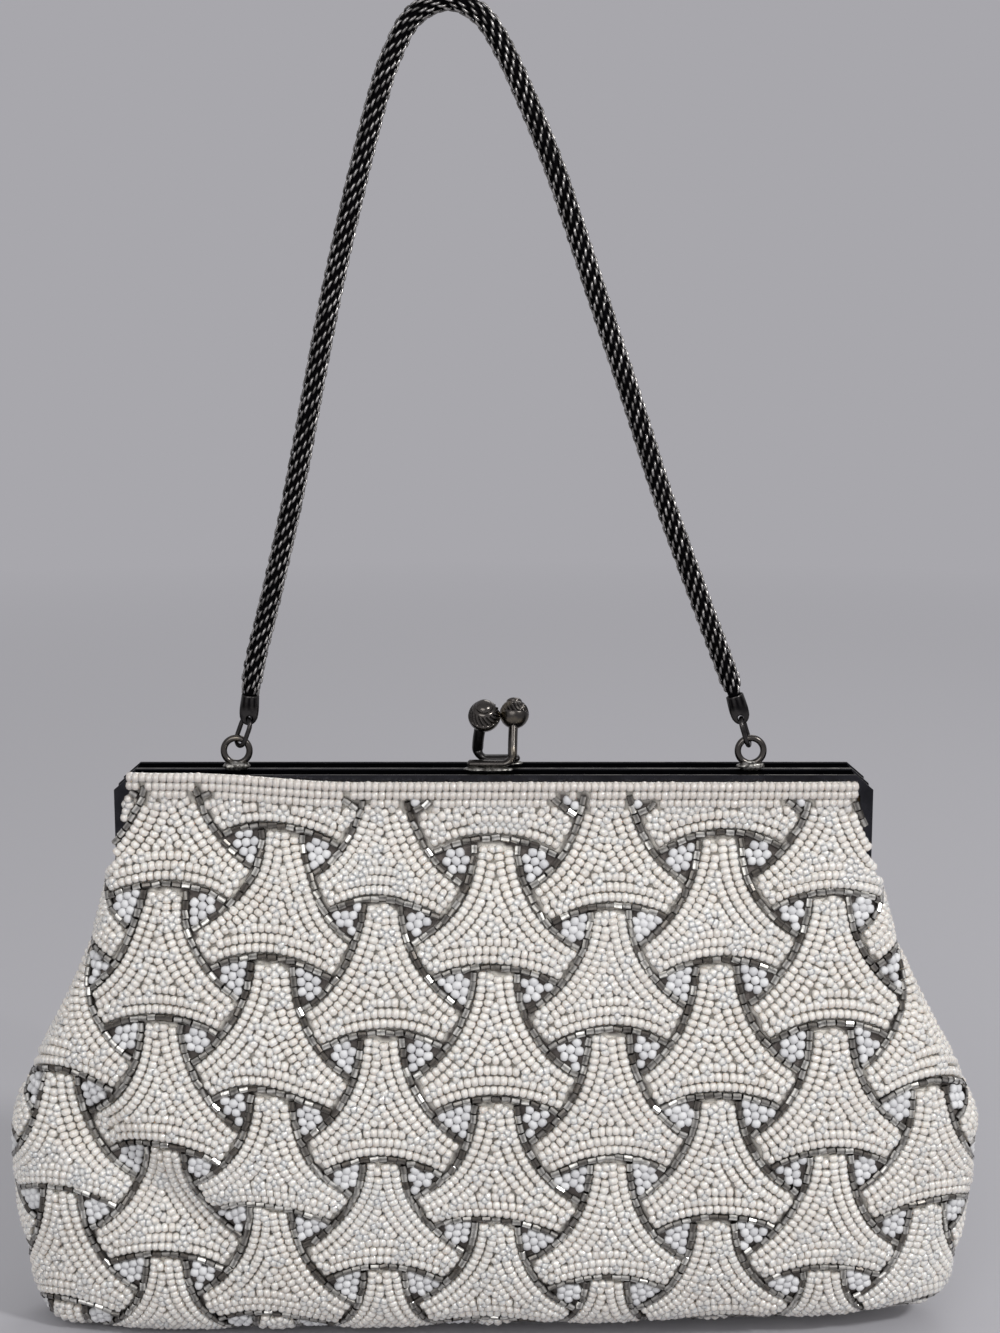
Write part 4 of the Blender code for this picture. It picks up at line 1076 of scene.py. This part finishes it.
def sheet_from(
        name, word, depth, start, stop, finish, thickness, reach_share=1.0, lap=0.0, ripple=None,
        step=2.2 * MM, columns=97, pulled=False):
    """A sheet that follows one face of the bag at a depth below its beads, with its flat map."""
    face = FACES[word]
    downs = np.linspace(start, stop, int((stop - start) / step) + 2)
    shares = np.sin(np.linspace(-math.pi / 2, math.pi / 2, columns)) * 0.35
    shares += np.linspace(-1, 1, columns) * 0.65
    shut = smooth_step((downs - SIDE_SHUT_DROP) / (10 * MM)) * (lap > 0)
    reach = (face.limit_at(downs) - 0.15 * MM) * (reach_share + (1 - reach_share) * shut) + lap * shut
    across = shares[None, :] * reach[:, None]
    down = np.repeat(downs[:, None], columns, axis=1)
    point, _, _, out = face.reach(across, down - cloth_pull(word, across, down) * pulled)
    sink = np.full(across.shape, depth)
    if ripple is not None:
        sink = sink + ripple(across, down)
    point = point - out * sink[..., None]
    faces = []
    for row in range(len(downs) - 1):
        for column in range(columns - 1):
            a = row * columns + column
            faces.append((a, a + columns, a + columns + 1, a + 1))
    mesh = bpy.data.meshes.new(name)
    mesh.from_pydata(point.reshape(-1, 3).tolist(), [], faces)
    flat = mesh.uv_layers.new(name="flat")
    places = np.column_stack([across.ravel(), -down.ravel()])
    corners = np.zeros(len(mesh.loops), np.int32)
    mesh.loops.foreach_get("vertex_index", corners)
    flat.data.foreach_set("uv", places[corners].astype(np.float32).ravel())
    mesh.shade_smooth()
    obj = object_from(name, mesh, finish)
    apply_modifier(obj, "SOLIDIFY", thickness=thickness, offset=-1.0, use_even_offset=False)
    area = float(np.trapz(2 * reach, downs))
    size = (2 * float(reach.max()), float(stop - start))
    return obj, size, area


class BAG_OT_ground(bpy.types.Operator):
    """Cuts the ground cloth of both faces and shapes it to the frame and the pouch"""
    bl_idname = "bag.ground"
    bl_label = "Ground cloth"

    def execute(self, context):
        sizes, colours = context.scene.bag_sizes, context.scene.bag_colours
        finish = cotton_ground(colours)
        for word, face in FACES.items():
            obj, size, area = sheet_from(
                f"{word}_ground_cloth", word, GROUND_DEPTH, 0.4 * MM, face.length, finish,
                sizes.cloth_thickness, step=1.1 * MM, columns=211, pulled=True)
            bend_with_frame(obj)
            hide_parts(f"{word}_upper_panel", f"{word}_panel", f"{word}_bead_edging")
        return {"FINISHED"}


def strung(face, across, down, turns, lifts, length, width, rng, roll=0.0):
    """Centres, axes and sizes of beads at places on a face, each with its hole along its row."""
    point, ahead, up, out = face.reach(across, down)
    lean = turns + rng.normal(0, 0.07, len(turns))
    tilt = rng.normal(0, 0.08, len(turns))
    row = np.cos(lean)[:, None] * ahead + np.sin(lean)[:, None] * up
    row = row + tilt[:, None] * out
    row /= np.linalg.norm(row, axis=1, keepdims=True)
    beside = np.cross(out, row)
    beside /= np.linalg.norm(beside, axis=1, keepdims=True)
    rolls = rng.uniform(-roll, roll, (len(turns), 1))
    beside = np.cos(rolls) * beside + np.sin(rolls) * np.cross(row, beside)
    axes = np.stack([row, beside, np.cross(row, beside)], axis=1)
    wide = width * rng.normal(1, 0.03, len(turns))
    size = np.column_stack([length * rng.normal(1, 0.04, len(turns)), wide, wide])
    return point + out * lifts[:, None], axes, size


def add_beads(name, shape, strung_beads, tones, finish, slot):
    centres, axes, size = strung_beads
    mesh = mesh_of_copies(name, shape, centres, axes, size, tones, flat=slot == "bugle_beads")
    obj = object_from(name, mesh, finish)
    bend_with_frame(obj)
    return obj


def edge_rows(face, sizes, taken, rng):
    """Straight rows of pearls along the frame, the last of them only where the pattern leaves room."""
    rows = []
    for drop in EDGE_ROWS:
        wide = float(face.limit_at(drop)) - sizes.pearl_width / 2
        across = np.arange(-wide, wide, sizes.pearl_pitch * 0.98)
        down = drop + rng.normal(0, 0.05 * MM, len(across))
        for place in zip(across, down):
            if np.min(np.linalg.norm(taken - (place[0], -place[1]), axis=1)) > EDGE_CLEAR:
                rows.append((place[0], -place[1], 0, -EDGE_DEPTH, np.clip(rng.normal(0.6, 0.2), 0, 1)))
    return np.array(rows)


def gaps_to(taken, spots):
    """How far each spot lies from the nearest of the places taken."""
    tree = kdtree.KDTree(len(taken))
    for index, (across, up) in enumerate(taken):
        tree.insert((across, up, 0), index)
    tree.balance()
    return np.array([tree.find((across, up, 0))[2] for across, up in spots])


def shade_bare_ground(word, pearls):
    """Marks where the ground cloth lies bare, away from the pearls, for its finish, which paints shade there
    and light under the pearls.
    """
    mesh = bpy.data.objects[f"{word}_ground_cloth"].data
    corners = np.zeros(len(mesh.loops), np.int32)
    mesh.loops.foreach_get("vertex_index", corners)
    flat = np.zeros(2 * len(mesh.loops), np.float32)
    mesh.uv_layers["flat"].data.foreach_get("uv", flat)
    places = np.zeros((len(mesh.vertices), 2))
    places[corners] = flat.reshape(-1, 2)
    bare = smooth_step((gaps_to(pearls, places) - BARE_GAP) / BARE_RUN)
    mesh.attributes.new("bare", "FLOAT", "POINT").data.foreach_set("value", bare.astype(np.float32))


def top_fill(word, sizes, taken, rng):
    """Single pearls that close the strip between the edge rows and the first motifs."""
    wide = float(FACES[word].limit_at(EDGE_ROWS[-1]))
    spots = rng.uniform((-wide, -FILL_DROP), (wide, -EDGE_ROWS[-1] - 1.2 * MM), (FILL_TRIES, 2))
    held = np.zeros(len(spots), bool)
    for centre in settled(word, motif_centres()):
        held |= clear_of_edges(spots - centre, first_row(sizes))
    spots = spots[held]
    gaps = gaps_to(taken, spots)
    found, close = [], 0.8 * sizes.pearl_pitch
    while np.any(gaps > close):
        pick = np.argmin(np.where(gaps > close, gaps, np.inf))
        found.append((*spots[pick], 0, -EDGE_DEPTH - 0.1 * MM, np.clip(rng.normal(0.6, 0.2), 0, 1)))
        gaps = np.minimum(gaps, np.linalg.norm(spots - spots[pick], axis=1))
    return np.array(found).reshape(-1, 5)


def sown(sizes, rng, pearl_layouts, bugle_layouts):
    """Every bead of one face's pattern by kind, untrimmed: its place across and up, turn, lift and tone."""
    pearls, bugles, whites = [], [], []
    for centre in motif_centres():
        pick = rng.integers(LAYOUTS)
        mood = rng.normal(0, 0.09)
        places, turns = pearl_layouts[pick]
        rise = CROWN * smooth_step(nearest_edge(places) / CROWN_RUN)
        dip = TIP_DIP * (1 - smooth_step(nearest_tip(places) / TIP_RUN))
        tone = np.clip(rng.normal(0.62 + mood, 0.2, len(places)), 0, 1)
        pearls.append(np.column_stack([places + centre, turns, rise - dip - PEARL_DEPTH, tone]))
        places, turns = bugle_layouts[pick]
        tone = np.clip(rng.normal(0.45, 0.4, len(places)), 0, 1)
        lift = rng.normal(-BUGLE_DEPTH, 0.05 * MM, len(places))
        bugles.append(np.column_stack([places + centre, turns, lift, tone]))
        for kind, gap in enumerate(GAP_PLACES):
            places = white_layout(rng, kind, sizes) + centre + np.array(gap)
            turns = rng.uniform(0, math.tau, len(places))
            tone = rng.uniform(0, 1, len(places))
            lift = rng.normal(-WHITE_DEPTH, 0.06 * MM, len(places))
            whites.append(np.column_stack([places, turns, lift, tone]))
    found = {"bugles": bugles, "white_beads": whites, "pearls": pearls}
    return {label: np.vstack(rows) for label, rows in found.items()}


class BAG_OT_beads(bpy.types.Operator):
    """Sews the beads on: pearls in rows, bugles round each motif and white beads in the gaps"""
    bl_idname = "bag.beads"
    bl_label = "Beadwork"

    def execute(self, context):
        sizes, colours = context.scene.bag_sizes, context.scene.bag_colours
        kinds = {
            "bugles": (BUGLE_BEAD, sizes.bugle_length, sizes.bugle_width, silver_lined_glass(colours)),
            "white_beads": (SEED_BEAD, sizes.white_width * 0.9, sizes.white_width, opaque_glass(colours)),
            "pearls": (SEED_BEAD, sizes.pearl_length, sizes.pearl_width, pearl_glass(colours)),
        }
        layouts = [[lay(seed, sizes) for seed in range(LAYOUTS)] for lay in (pearl_layout, bugle_layout)]
        for word, face in FACES.items():
            rng = np.random.default_rng(BEAD_SEEDS[word])
            found = sown(sizes, rng, *layouts)
            taken = []
            for label, (shape, length, width, finish) in kinds.items():
                rows = found[label]
                rows[:, :2] = settled(word, rows[:, :2])
                rows = rows[(rows[:, 1] < -PATTERN_TOP) & face.holds(rows[:, 0], -rows[:, 1], width / 2)]
                bands = {f"{word}_{label}": (-math.inf, math.inf)}
                if label == "pearls":
                    edging = edge_rows(face, sizes, np.vstack(taken), rng)
                    below = rows[:, 1] < -EDGE_ROWS[-1] - 0.82 * width
                    rows = np.vstack([edging, rows[below]])
                    rows = np.vstack([rows, top_fill(word, sizes, np.vstack([*taken, rows[:, :2]]), rng)])
                    shade_bare_ground(word, rows[:, :2])
                    ends = zip(PEARL_BANDS, PEARL_BANDS[1:])
                    bands = {f"{word}_pearls_{band}": end for band, end in enumerate(ends, 1)}
                taken.append(rows[:, :2])
                down = -rows[:, 1] - cloth_pull(word, rows[:, 0], -rows[:, 1])
                roll = BUGLE_ROLL if label == "bugles" else 0.0
                beads = strung(face, rows[:, 0], down, rows[:, 2], rows[:, 3], length, width, rng, roll)
                for name, (top, low) in bands.items():
                    here = (down >= top) & (down < low)
                    part = tuple(values[here] for values in beads)
                    add_beads(name, shape, part, rows[here, 4], finish, SLOTS[label])
        return {"FINISHED"}


class BAG_OT_lining(bpy.types.Operator):
    """Lines both faces with satin and sews the pocket on the back lining"""
    bl_idname = "bag.lining"
    bl_label = "Lining and pocket"

    def execute(self, context):
        sizes, colours = context.scene.bag_sizes, context.scene.bag_colours
        finish = ivory_satin(colours)

        def ripple(across, down):
            fullness = np.clip(down / (60 * MM), 0, 1) * np.clip((150 * MM - down) / (20 * MM), 0, 1)
            wave = np.sin(across / (5.1 * MM)) + 0.6 * np.sin(across / (3.3 * MM) + down / (30 * MM))
            return RIPPLE * fullness * (1 + wave / 1.6)

        def lapped(across, down):
            """The front's lining lies over the back's where the two meet along the sides and the bottom."""
            front = FACES["front"]
            past = np.maximum(down - front.length, np.abs(across) - front.limit_at(down))
            return ripple(across, down) + LAP_SINK * smooth_step((past + 3.5 * MM) / (2.5 * MM))

        for word, face in FACES.items():
            obj, size, area = sheet_from(
                f"{word}_satin_lining", word, LINING_DEPTH + LINING_EASE, 1.2 * MM, face.length + LINING_LAP,
                finish, sizes.cloth_thickness, reach_share=0.965, lap=LINING_LAP,
                ripple=lapped if word == "front" else ripple)
            bend_with_frame(obj)
            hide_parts(f"{word}_lining", f"{word}_upper_lining")
        obj, size, area = sheet_from(
            "inner_satin_pocket", "back", POCKET_DEPTH + POCKET_EASE, *POCKET_DROPS, finish,
            sizes.cloth_thickness, reach_share=0.5)
        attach(obj, "pouch")
        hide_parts("inner_pocket")
        return {"FINISHED"}


class BAG_OT_binding(bpy.types.Operator):
    """Twists the paper cords that wedge the cloth in the frame's channels"""
    bl_idname = "bag.binding"
    bl_label = "Binding cords"

    def execute(self, context):
        finish = kraft_paper(context.scene.bag_colours)
        for word in ("front", "back"):
            low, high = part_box(f"{word}_binding_cord")
            radius, deep = (high.y - low.y) / 2, (low.y + high.y) / 2
            turn = np.linspace(0, math.pi / 2, 7)
            rise = high.z - radius - PAPER_CORNER * (1 - np.sin(turn))
            left = low.x + radius + PAPER_CORNER * (1 - np.cos(turn))
            right = high.x - radius - PAPER_CORNER * (1 - np.cos(turn))
            x = np.concatenate([left[:1], left, right[::-1], right[:1]])
            z = np.concatenate([[low.z], rise, rise[::-1], [low.z]])
            route = even_route(np.column_stack([x, np.full(len(x), deep), z]), PAPER_STEP)
            turn = np.linspace(0, math.tau, 14, endpoint=False)
            twist = math.tau * np.arange(len(route))[:, None] * PAPER_STEP / PAPER_TWIST
            radius = 0.97 * radius * (0.9 + 0.1 * np.cos(2 * (turn - twist)))
            rings = swept_rings(route, np.array([0.0, 1.0, 0.0]), radius, radius, 14)
            obj = skinned(f"{word}_twisted_binding", rings, finish)
            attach(obj, f"{word}_frame")
            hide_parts(f"{word}_binding_cord")
        return {"FINISHED"}


class BAG_OT_metals(bpy.types.Operator):
    """Finishes the metal that stays as it was made: the frame and its hinges"""
    bl_idname = "bag.metals"
    bl_label = "Metal finishes"

    def execute(self, context):
        colours = context.scene.bag_colours
        black, brass = blackened_steel(colours), blackened_brass(colours)
        finishes = {
            "front_frame_half": black, "back_frame_half": black,
            "left_hinge_pin": brass, "right_hinge_pin": brass,
        }
        for name, finish in finishes.items():
            piece = frame["nodes"][name]
            piece.data.materials.clear()
            piece.data.materials.append(finish)
        return {"FINISHED"}


def finish_piece(obj, name, finish, body, slot, *nodes):
    """Leaves a modelled piece with its place in its mesh, and sets what it is made of and rides on."""
    clear_selection()
    bpy.context.view_layer.objects.active = obj
    obj.select_set(True)
    bpy.ops.object.transform_apply(location=True, rotation=True, scale=True)
    bpy.ops.object.shade_smooth()
    obj.select_set(False)
    obj.name = obj.data.name = name
    obj.data.materials.clear()
    obj.data.materials.append(finish)
    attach(obj, body)
    if nodes:
        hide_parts(*nodes)


def solder_blob(name, place, size, body, finish):
    """A lumpy mound of solder, flowed flat where it meets the frame."""
    clear_selection()
    bpy.ops.mesh.primitive_uv_sphere_add(segments=28, ring_count=14, radius=1, location=place, scale=size)
    blob = bpy.context.object
    bpy.ops.object.transform_apply(location=True, rotation=True, scale=True)
    lumps = bpy.data.textures.new(name, "CLOUDS")
    lumps.noise_scale = 0.9 * MM
    apply_modifier(blob, "DISPLACE", texture=lumps, texture_coords="GLOBAL", strength=0.8 * MM, mid_level=0.5)
    finish_piece(blob, name, finish, body, "solder")


def link_frame(word):
    """A link's middle, the ways along and across its loop, its end radius and how far its ends lie apart."""
    low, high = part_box(f"{word}_link")
    up, deep = along(LINK_LEAN[word]), Vector((0, 1, 0))
    wide_way = math.cos(LINK_TWIST[word]) * deep + math.sin(LINK_TWIST[word]) * up.cross(deep)
    half = (high.y - low.y) / 2 - LINK_WIRE
    rise = (high.z - low.z) / 2 / up.z - LINK_WIRE - half
    return (low + high) / 2, up, wide_way, half, rise


class BAG_OT_caps(bpy.types.Operator):
    """Crimps a brass tube on each end of the handle, presses it flat and drills it for its link"""
    bl_idname = "bag.caps"
    bl_label = "Handle end caps"

    def execute(self, context):
        brass = blackened_brass(context.scene.bag_colours)
        turn = np.linspace(0, math.tau, 60, endpoint=False)
        for word, lean in CAP_LEAN.items():
            eye, up = np.array(cap_eye(word)), np.array(along(lean))
            beside, deep = np.array([-up[2], 0, up[0]]), np.array([0, 1.0, 0])
            rings, shades = [], []
            for height, wide, thick, crimp in reversed(CAP_PROFILE):
                # Each crimp fold is kept as shade, which the cap's finish paints dark.
                ridge = crimp * (1 - np.cos(CRIMP_RIDGES * turn)) / 2
                fold = (1 - CRIMP_FOLD * ridge) * MM
                ring = np.outer(wide * fold * np.cos(turn), beside)
                ring += np.outer(thick * fold * np.sin(turn), deep)
                rings.append(eye + up * height * MM + ring)
                shades.append(ridge)
            cap = skinned(f"{word}_crimped_cap", rings, brass, layers=(("shade", np.array(shades)),))
            middle, link_up, wide_way, half, rise = link_frame(word)
            clear_selection()
            bpy.ops.mesh.primitive_cylinder_add(
                vertices=40, radius=CAP_EYE, depth=8 * MM,
                location=middle + link_up * (rise + half) + CAP_EYE_RISE * Vector(up),
                rotation=wide_way.to_track_quat("Z", "Y").to_euler())
            drill = context.object
            apply_modifier(cap, "BOOLEAN", operation="DIFFERENCE", solver="EXACT", object=drill)
            bpy.data.objects.remove(drill)
            cap.data.shade_smooth()
            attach(cap, "handle")
            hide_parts(f"{word}_end_cap")
        return {"FINISHED"}


class BAG_OT_rings(bpy.types.Operator):
    """Bends the two handle rings and their links, and floods solder where the rings meet the frame"""
    bl_idname = "bag.rings"
    bl_label = "Handle rings and links"

    def execute(self, context):
        colours = context.scene.bag_colours
        pewter, solder, brass = aged_pewter(colours), tin_solder(colours), blackened_brass(colours)
        for word in LINK_TWIST:
            low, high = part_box(f"{word}_handle_ring")
            middle = (low + high) / 2
            centre = Vector((middle.x, middle.y, high.z - RING_REACH))
            clear_selection()
            bpy.ops.mesh.primitive_torus_add(
                major_segments=64, minor_segments=18, major_radius=RING_REACH - RING_WIRE,
                minor_radius=RING_WIRE, location=centre, rotation=(math.pi / 2, 0, 0))
            finish_piece(
                context.object, f"{word}_bent_ring", pewter, "front_frame", "pewter",
                f"{word}_handle_ring")
            foot = Vector((centre.x, middle.y - 0.5 * MM, low.z + 0.7 * MM))
            solder_blob(f"{word}_ring_solder", foot, RING_SOLDER, "front_frame", solder)
            middle, up, wide_way, half, rise = link_frame(word)
            turn = np.linspace(0, math.tau, 40, endpoint=False)
            stretch = np.where(np.sin(turn) >= 0, 1, -1) * rise
            route = np.array([tuple(
                middle + wide_way * half * math.cos(t) + up * (half * math.sin(t) + s))
                for t, s in zip(turn, stretch)])
            rings = swept_loop(route, np.array(wide_way.cross(up)), LINK_WIRE)
            link = skinned(f"{word}_wire_link", rings, brass, closed=True)
            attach(link, f"{word}_link")
            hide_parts(f"{word}_link")
        return {"FINISHED"}


def swept_loop(route, side, radius, sides=12):
    """Rings of round wire along a closed, flat loop."""
    way = np.roll(route, -1, axis=0) - np.roll(route, 1, axis=0)
    way /= np.linalg.norm(way, axis=1, keepdims=True)
    out = np.cross(side, way)
    turn = np.linspace(0, math.tau, sides, endpoint=False)[None, :, None]
    return route[:, None] + radius * (np.cos(turn) * out[:, None] + np.sin(turn) * side)


def lathed(name, centre, axis, size, turn, profile, finish, **layers):
    """A piece turned about an axis from heights and radii, each radius plain or given round it."""
    beside = np.array([1.0, 0, 0])
    ring = np.outer(np.cos(turn), beside) + np.outer(np.sin(turn), np.cross(axis, beside))
    rings = []
    for height, radius in profile:
        rings.append(centre + (axis * height + ring * np.reshape(radius, (-1, 1))) * size)
    return skinned(name, rings, finish, layers=tuple(layers.items()))


def clasp_arm(name, hand, stem, top, thick, finish):
    """A bent strip: a flat foot along the frame, a round bend, and a stem that leans in to its ball."""
    foot_y, bend_x = -hand * FOOT_ASIDE, stem - hand * ARM_BEND
    path = [(-hand * 6.7, foot_y, FOOT), (-hand * 2, foot_y, FOOT), (bend_x, foot_y, FOOT)]
    for bend in np.linspace(0.15, 0.85, 4) * math.pi / 2:
        path.append((
            stem - hand * ARM_BEND * (1 - math.sin(bend)), foot_y, FOOT + ARM_BEND * (1 - math.cos(bend))))
    path += [(stem, foot_y, FOOT + 2.5), (stem * 0.85 + top * 0.15, foot_y * 0.55, 7.6)]
    path += [(stem * 0.5 + top * 0.5, foot_y * 0.02, 11.4)]
    route = smooth_route(np.array(path) * MM + np.array(ORIGIN), 0.35 * MM)
    share = smooth_step((route[:, 2] - ORIGIN.z - FOOT * MM) / (3 * MM))[:, None]
    ends = smooth_step(np.arange(len(route)) / 3 + 0.35)[:, None]
    arm_thick = (ARM_FLAT + (thick - ARM_FLAT) * share) * ends * MM
    rings = swept_rings(route, np.array([0.0, 1.0, 0.0]), arm_thick, ARM_HALF * MM * ends, 18)
    return skinned(name, rings, finish)


class BAG_OT_clasp(bpy.types.Operator):
    """Bends the clasp's two arms, turns and knurls its balls, and sets a domed button on each"""
    bl_idname = "bag.clasp"
    bl_label = "Kiss-lock clasp"

    def execute(self, context):
        colours = context.scene.bag_colours
        pewter, solder = aged_pewter(colours), tin_solder(colours)
        finishes = {"front": pewter, "back": blackened_brass(colours)}
        turn = np.linspace(0, math.tau, 132, endpoint=False)
        for word, (hand, stem, top, tilt, thick, scale) in CLASP.items():
            body = f"{word}_frame"
            centre = np.array(ORIGIN) + np.array([top, hand * 1.2, BALL_HEIGHT]) * MM
            axis, size = np.array([0, math.sin(tilt), math.cos(tilt)]), scale * MM
            profile, grooves = [], []
            for height, radius, knurl in BALL_PROFILE:
                # The grooves' depth is kept as shade, which the finish paints dark.
                grooves.append(knurl * (0.5 - 0.5 * np.cos(KNURLS * turn + KNURL_SLANT * height)) ** 1.5)
                profile.append((height, radius + KNURL_RISE * knurl - KNURL_DEEP * grooves[-1]))
            ball = lathed(
                f"{word}_knurled_ball", centre, axis, size, turn, profile, pewter, shade=np.array(grooves))
            finish_piece(ball, ball.name, pewter, body, "pewter", f"{word}_clasp_ball")
            button = lathed(
                f"{word}_domed_button", centre, axis, size, turn[::3], BUTTON_PROFILE, pewter)
            finish_piece(button, button.name, pewter, body, "pewter", f"{word}_clasp_button")
            arm = clasp_arm(f"{word}_bent_arm", hand, stem, top, thick, finishes[word])
            finish_piece(arm, arm.name, finishes[word], body, "pewter", f"{word}_clasp_arm")
            seam = ORIGIN + Vector((-hand * 1.4, -hand * (FOOT_ASIDE + 0.5), 0.55)) * MM
            solder_blob(f"{word}_clasp_solder", seam, CLASP_SOLDER, body, solder)
        return {"FINISHED"}


def pale_board(pale):
    """Matt painted board that passes into the backdrop's even glow away from the bag."""
    made, tree = principled("matt_painted_board", Roughness=0.9, Base_Color=pale)
    away = node(tree, "ShaderNodeVectorMath", {0: own_place(tree)}, operation="LENGTH").outputs["Value"]
    glow = node(tree, "ShaderNodeEmission", {"Color": pale, "Strength": 1.0})
    both = node(tree, "ShaderNodeMixShader", {
        0: ranged(tree, away, 0.5, 1.6), 1: tree.nodes["Principled BSDF"].outputs["BSDF"],
        2: glow.outputs["Emission"]})
    tree.links.new(both.outputs["Shader"], tree.nodes["Material Output"].inputs["Surface"])
    return made


def soft_world(pale):
    """An even white light, seen as the pale backdrop by the camera and in glass and gloss."""
    world = bpy.data.worlds.new("studio")
    world.use_nodes = True
    tree = world.node_tree
    light = tree.nodes["Background"]
    light.inputs["Color"].default_value = (1, 1, 1, 1)
    light.inputs["Strength"].default_value = 0.62
    seen = node(tree, "ShaderNodeBackground", {"Color": pale, "Strength": 1.0})
    rays = node(tree, "ShaderNodeLightPath").outputs
    plain = reckoned(tree, "MAXIMUM", rays["Is Camera Ray"], rays["Is Transmission Ray"])
    plain = reckoned(tree, "MAXIMUM", plain, rays["Is Glossy Ray"])
    both = node(tree, "ShaderNodeMixShader", {
        0: plain, 1: light.outputs["Background"], 2: seen.outputs["Background"]})
    tree.links.new(both.outputs["Shader"], tree.nodes["World Output"].inputs["Surface"])
    return world


class BAG_OT_stage(bpy.types.Operator):
    """Lays the pale floor, and lights the bag softly from the right"""
    bl_idname = "bag.stage"
    bl_label = "Floor and light"

    def execute(self, context):
        pale = tuple(context.scene.bag_colours.floor)
        clear_selection()
        bpy.ops.mesh.primitive_circle_add(
            vertices=96, radius=6, fill_type="NGON", location=(0, 0, CAD_BOX[0].z - 4 * MM))
        floor = context.object
        floor.name = "floor"
        clear_selection()
        floor.select_set(True)
        bpy.ops.object.transform_apply(location=True, rotation=True, scale=True)
        floor.data.materials.append(pale_board(pale))
        context.scene.world = soft_world(pale)
        middle = (CAD_BOX[0] + CAD_BOX[1]) / 2
        for name, place, size, power in LAMPS:
            spot = middle + Vector(place)
            bpy.ops.object.light_add(
                type="AREA", location=spot, rotation=(middle - spot).to_track_quat("-Z", "Y").to_euler())
            lamp = context.object
            lamp.name = name
            lamp.data.shape = "DISK"
            lamp.data.size = size
            lamp.data.energy = power
        context.scene.view_settings.view_transform = "Standard"
        return {"FINISHED"}


class BAG_PT_panel(bpy.types.Panel):
    """Sizes, colours and pieces of the bag"""
    bl_idname = "BAG_PT_panel"
    bl_label = "Frame Bag"
    bl_space_type = "VIEW_3D"
    bl_region_type = "UI"
    bl_category = "Frame Bag"

    def draw(self, context):
        for group in (context.scene.bag_sizes, context.scene.bag_colours):
            box = self.layout.box()
            for name in group.__annotations__:
                box.prop(group, name)
        for operator in OPERATORS:
            self.layout.operator(operator.bl_idname)


OPERATORS = (
    BAG_OT_camera, BAG_OT_handle, BAG_OT_ground, BAG_OT_beads, BAG_OT_lining, BAG_OT_binding,
    BAG_OT_metals, BAG_OT_caps, BAG_OT_rings, BAG_OT_clasp, BAG_OT_stage,
)
CLASSES = (BagSizes, BagColours, *OPERATORS, BAG_PT_panel)


def register():
    for kind in CLASSES:
        bpy.utils.register_class(kind)
    bpy.types.Scene.bag_sizes = bpy.props.PointerProperty(type=BagSizes)
    bpy.types.Scene.bag_colours = bpy.props.PointerProperty(type=BagColours)


def unregister():
    del bpy.types.Scene.bag_sizes
    del bpy.types.Scene.bag_colours
    for kind in reversed(CLASSES):
        bpy.utils.unregister_class(kind)


def main():
    register()
    bpy.ops.bag.camera()
    bpy.ops.bag.handle()
    bpy.ops.bag.ground()
    bpy.ops.bag.beads()
    bpy.ops.bag.lining()
    bpy.ops.bag.binding()
    bpy.ops.bag.metals()
    bpy.ops.bag.caps()
    bpy.ops.bag.rings()
    bpy.ops.bag.clasp()
    bpy.ops.bag.stage()


if __name__ == "__main__":
    main()
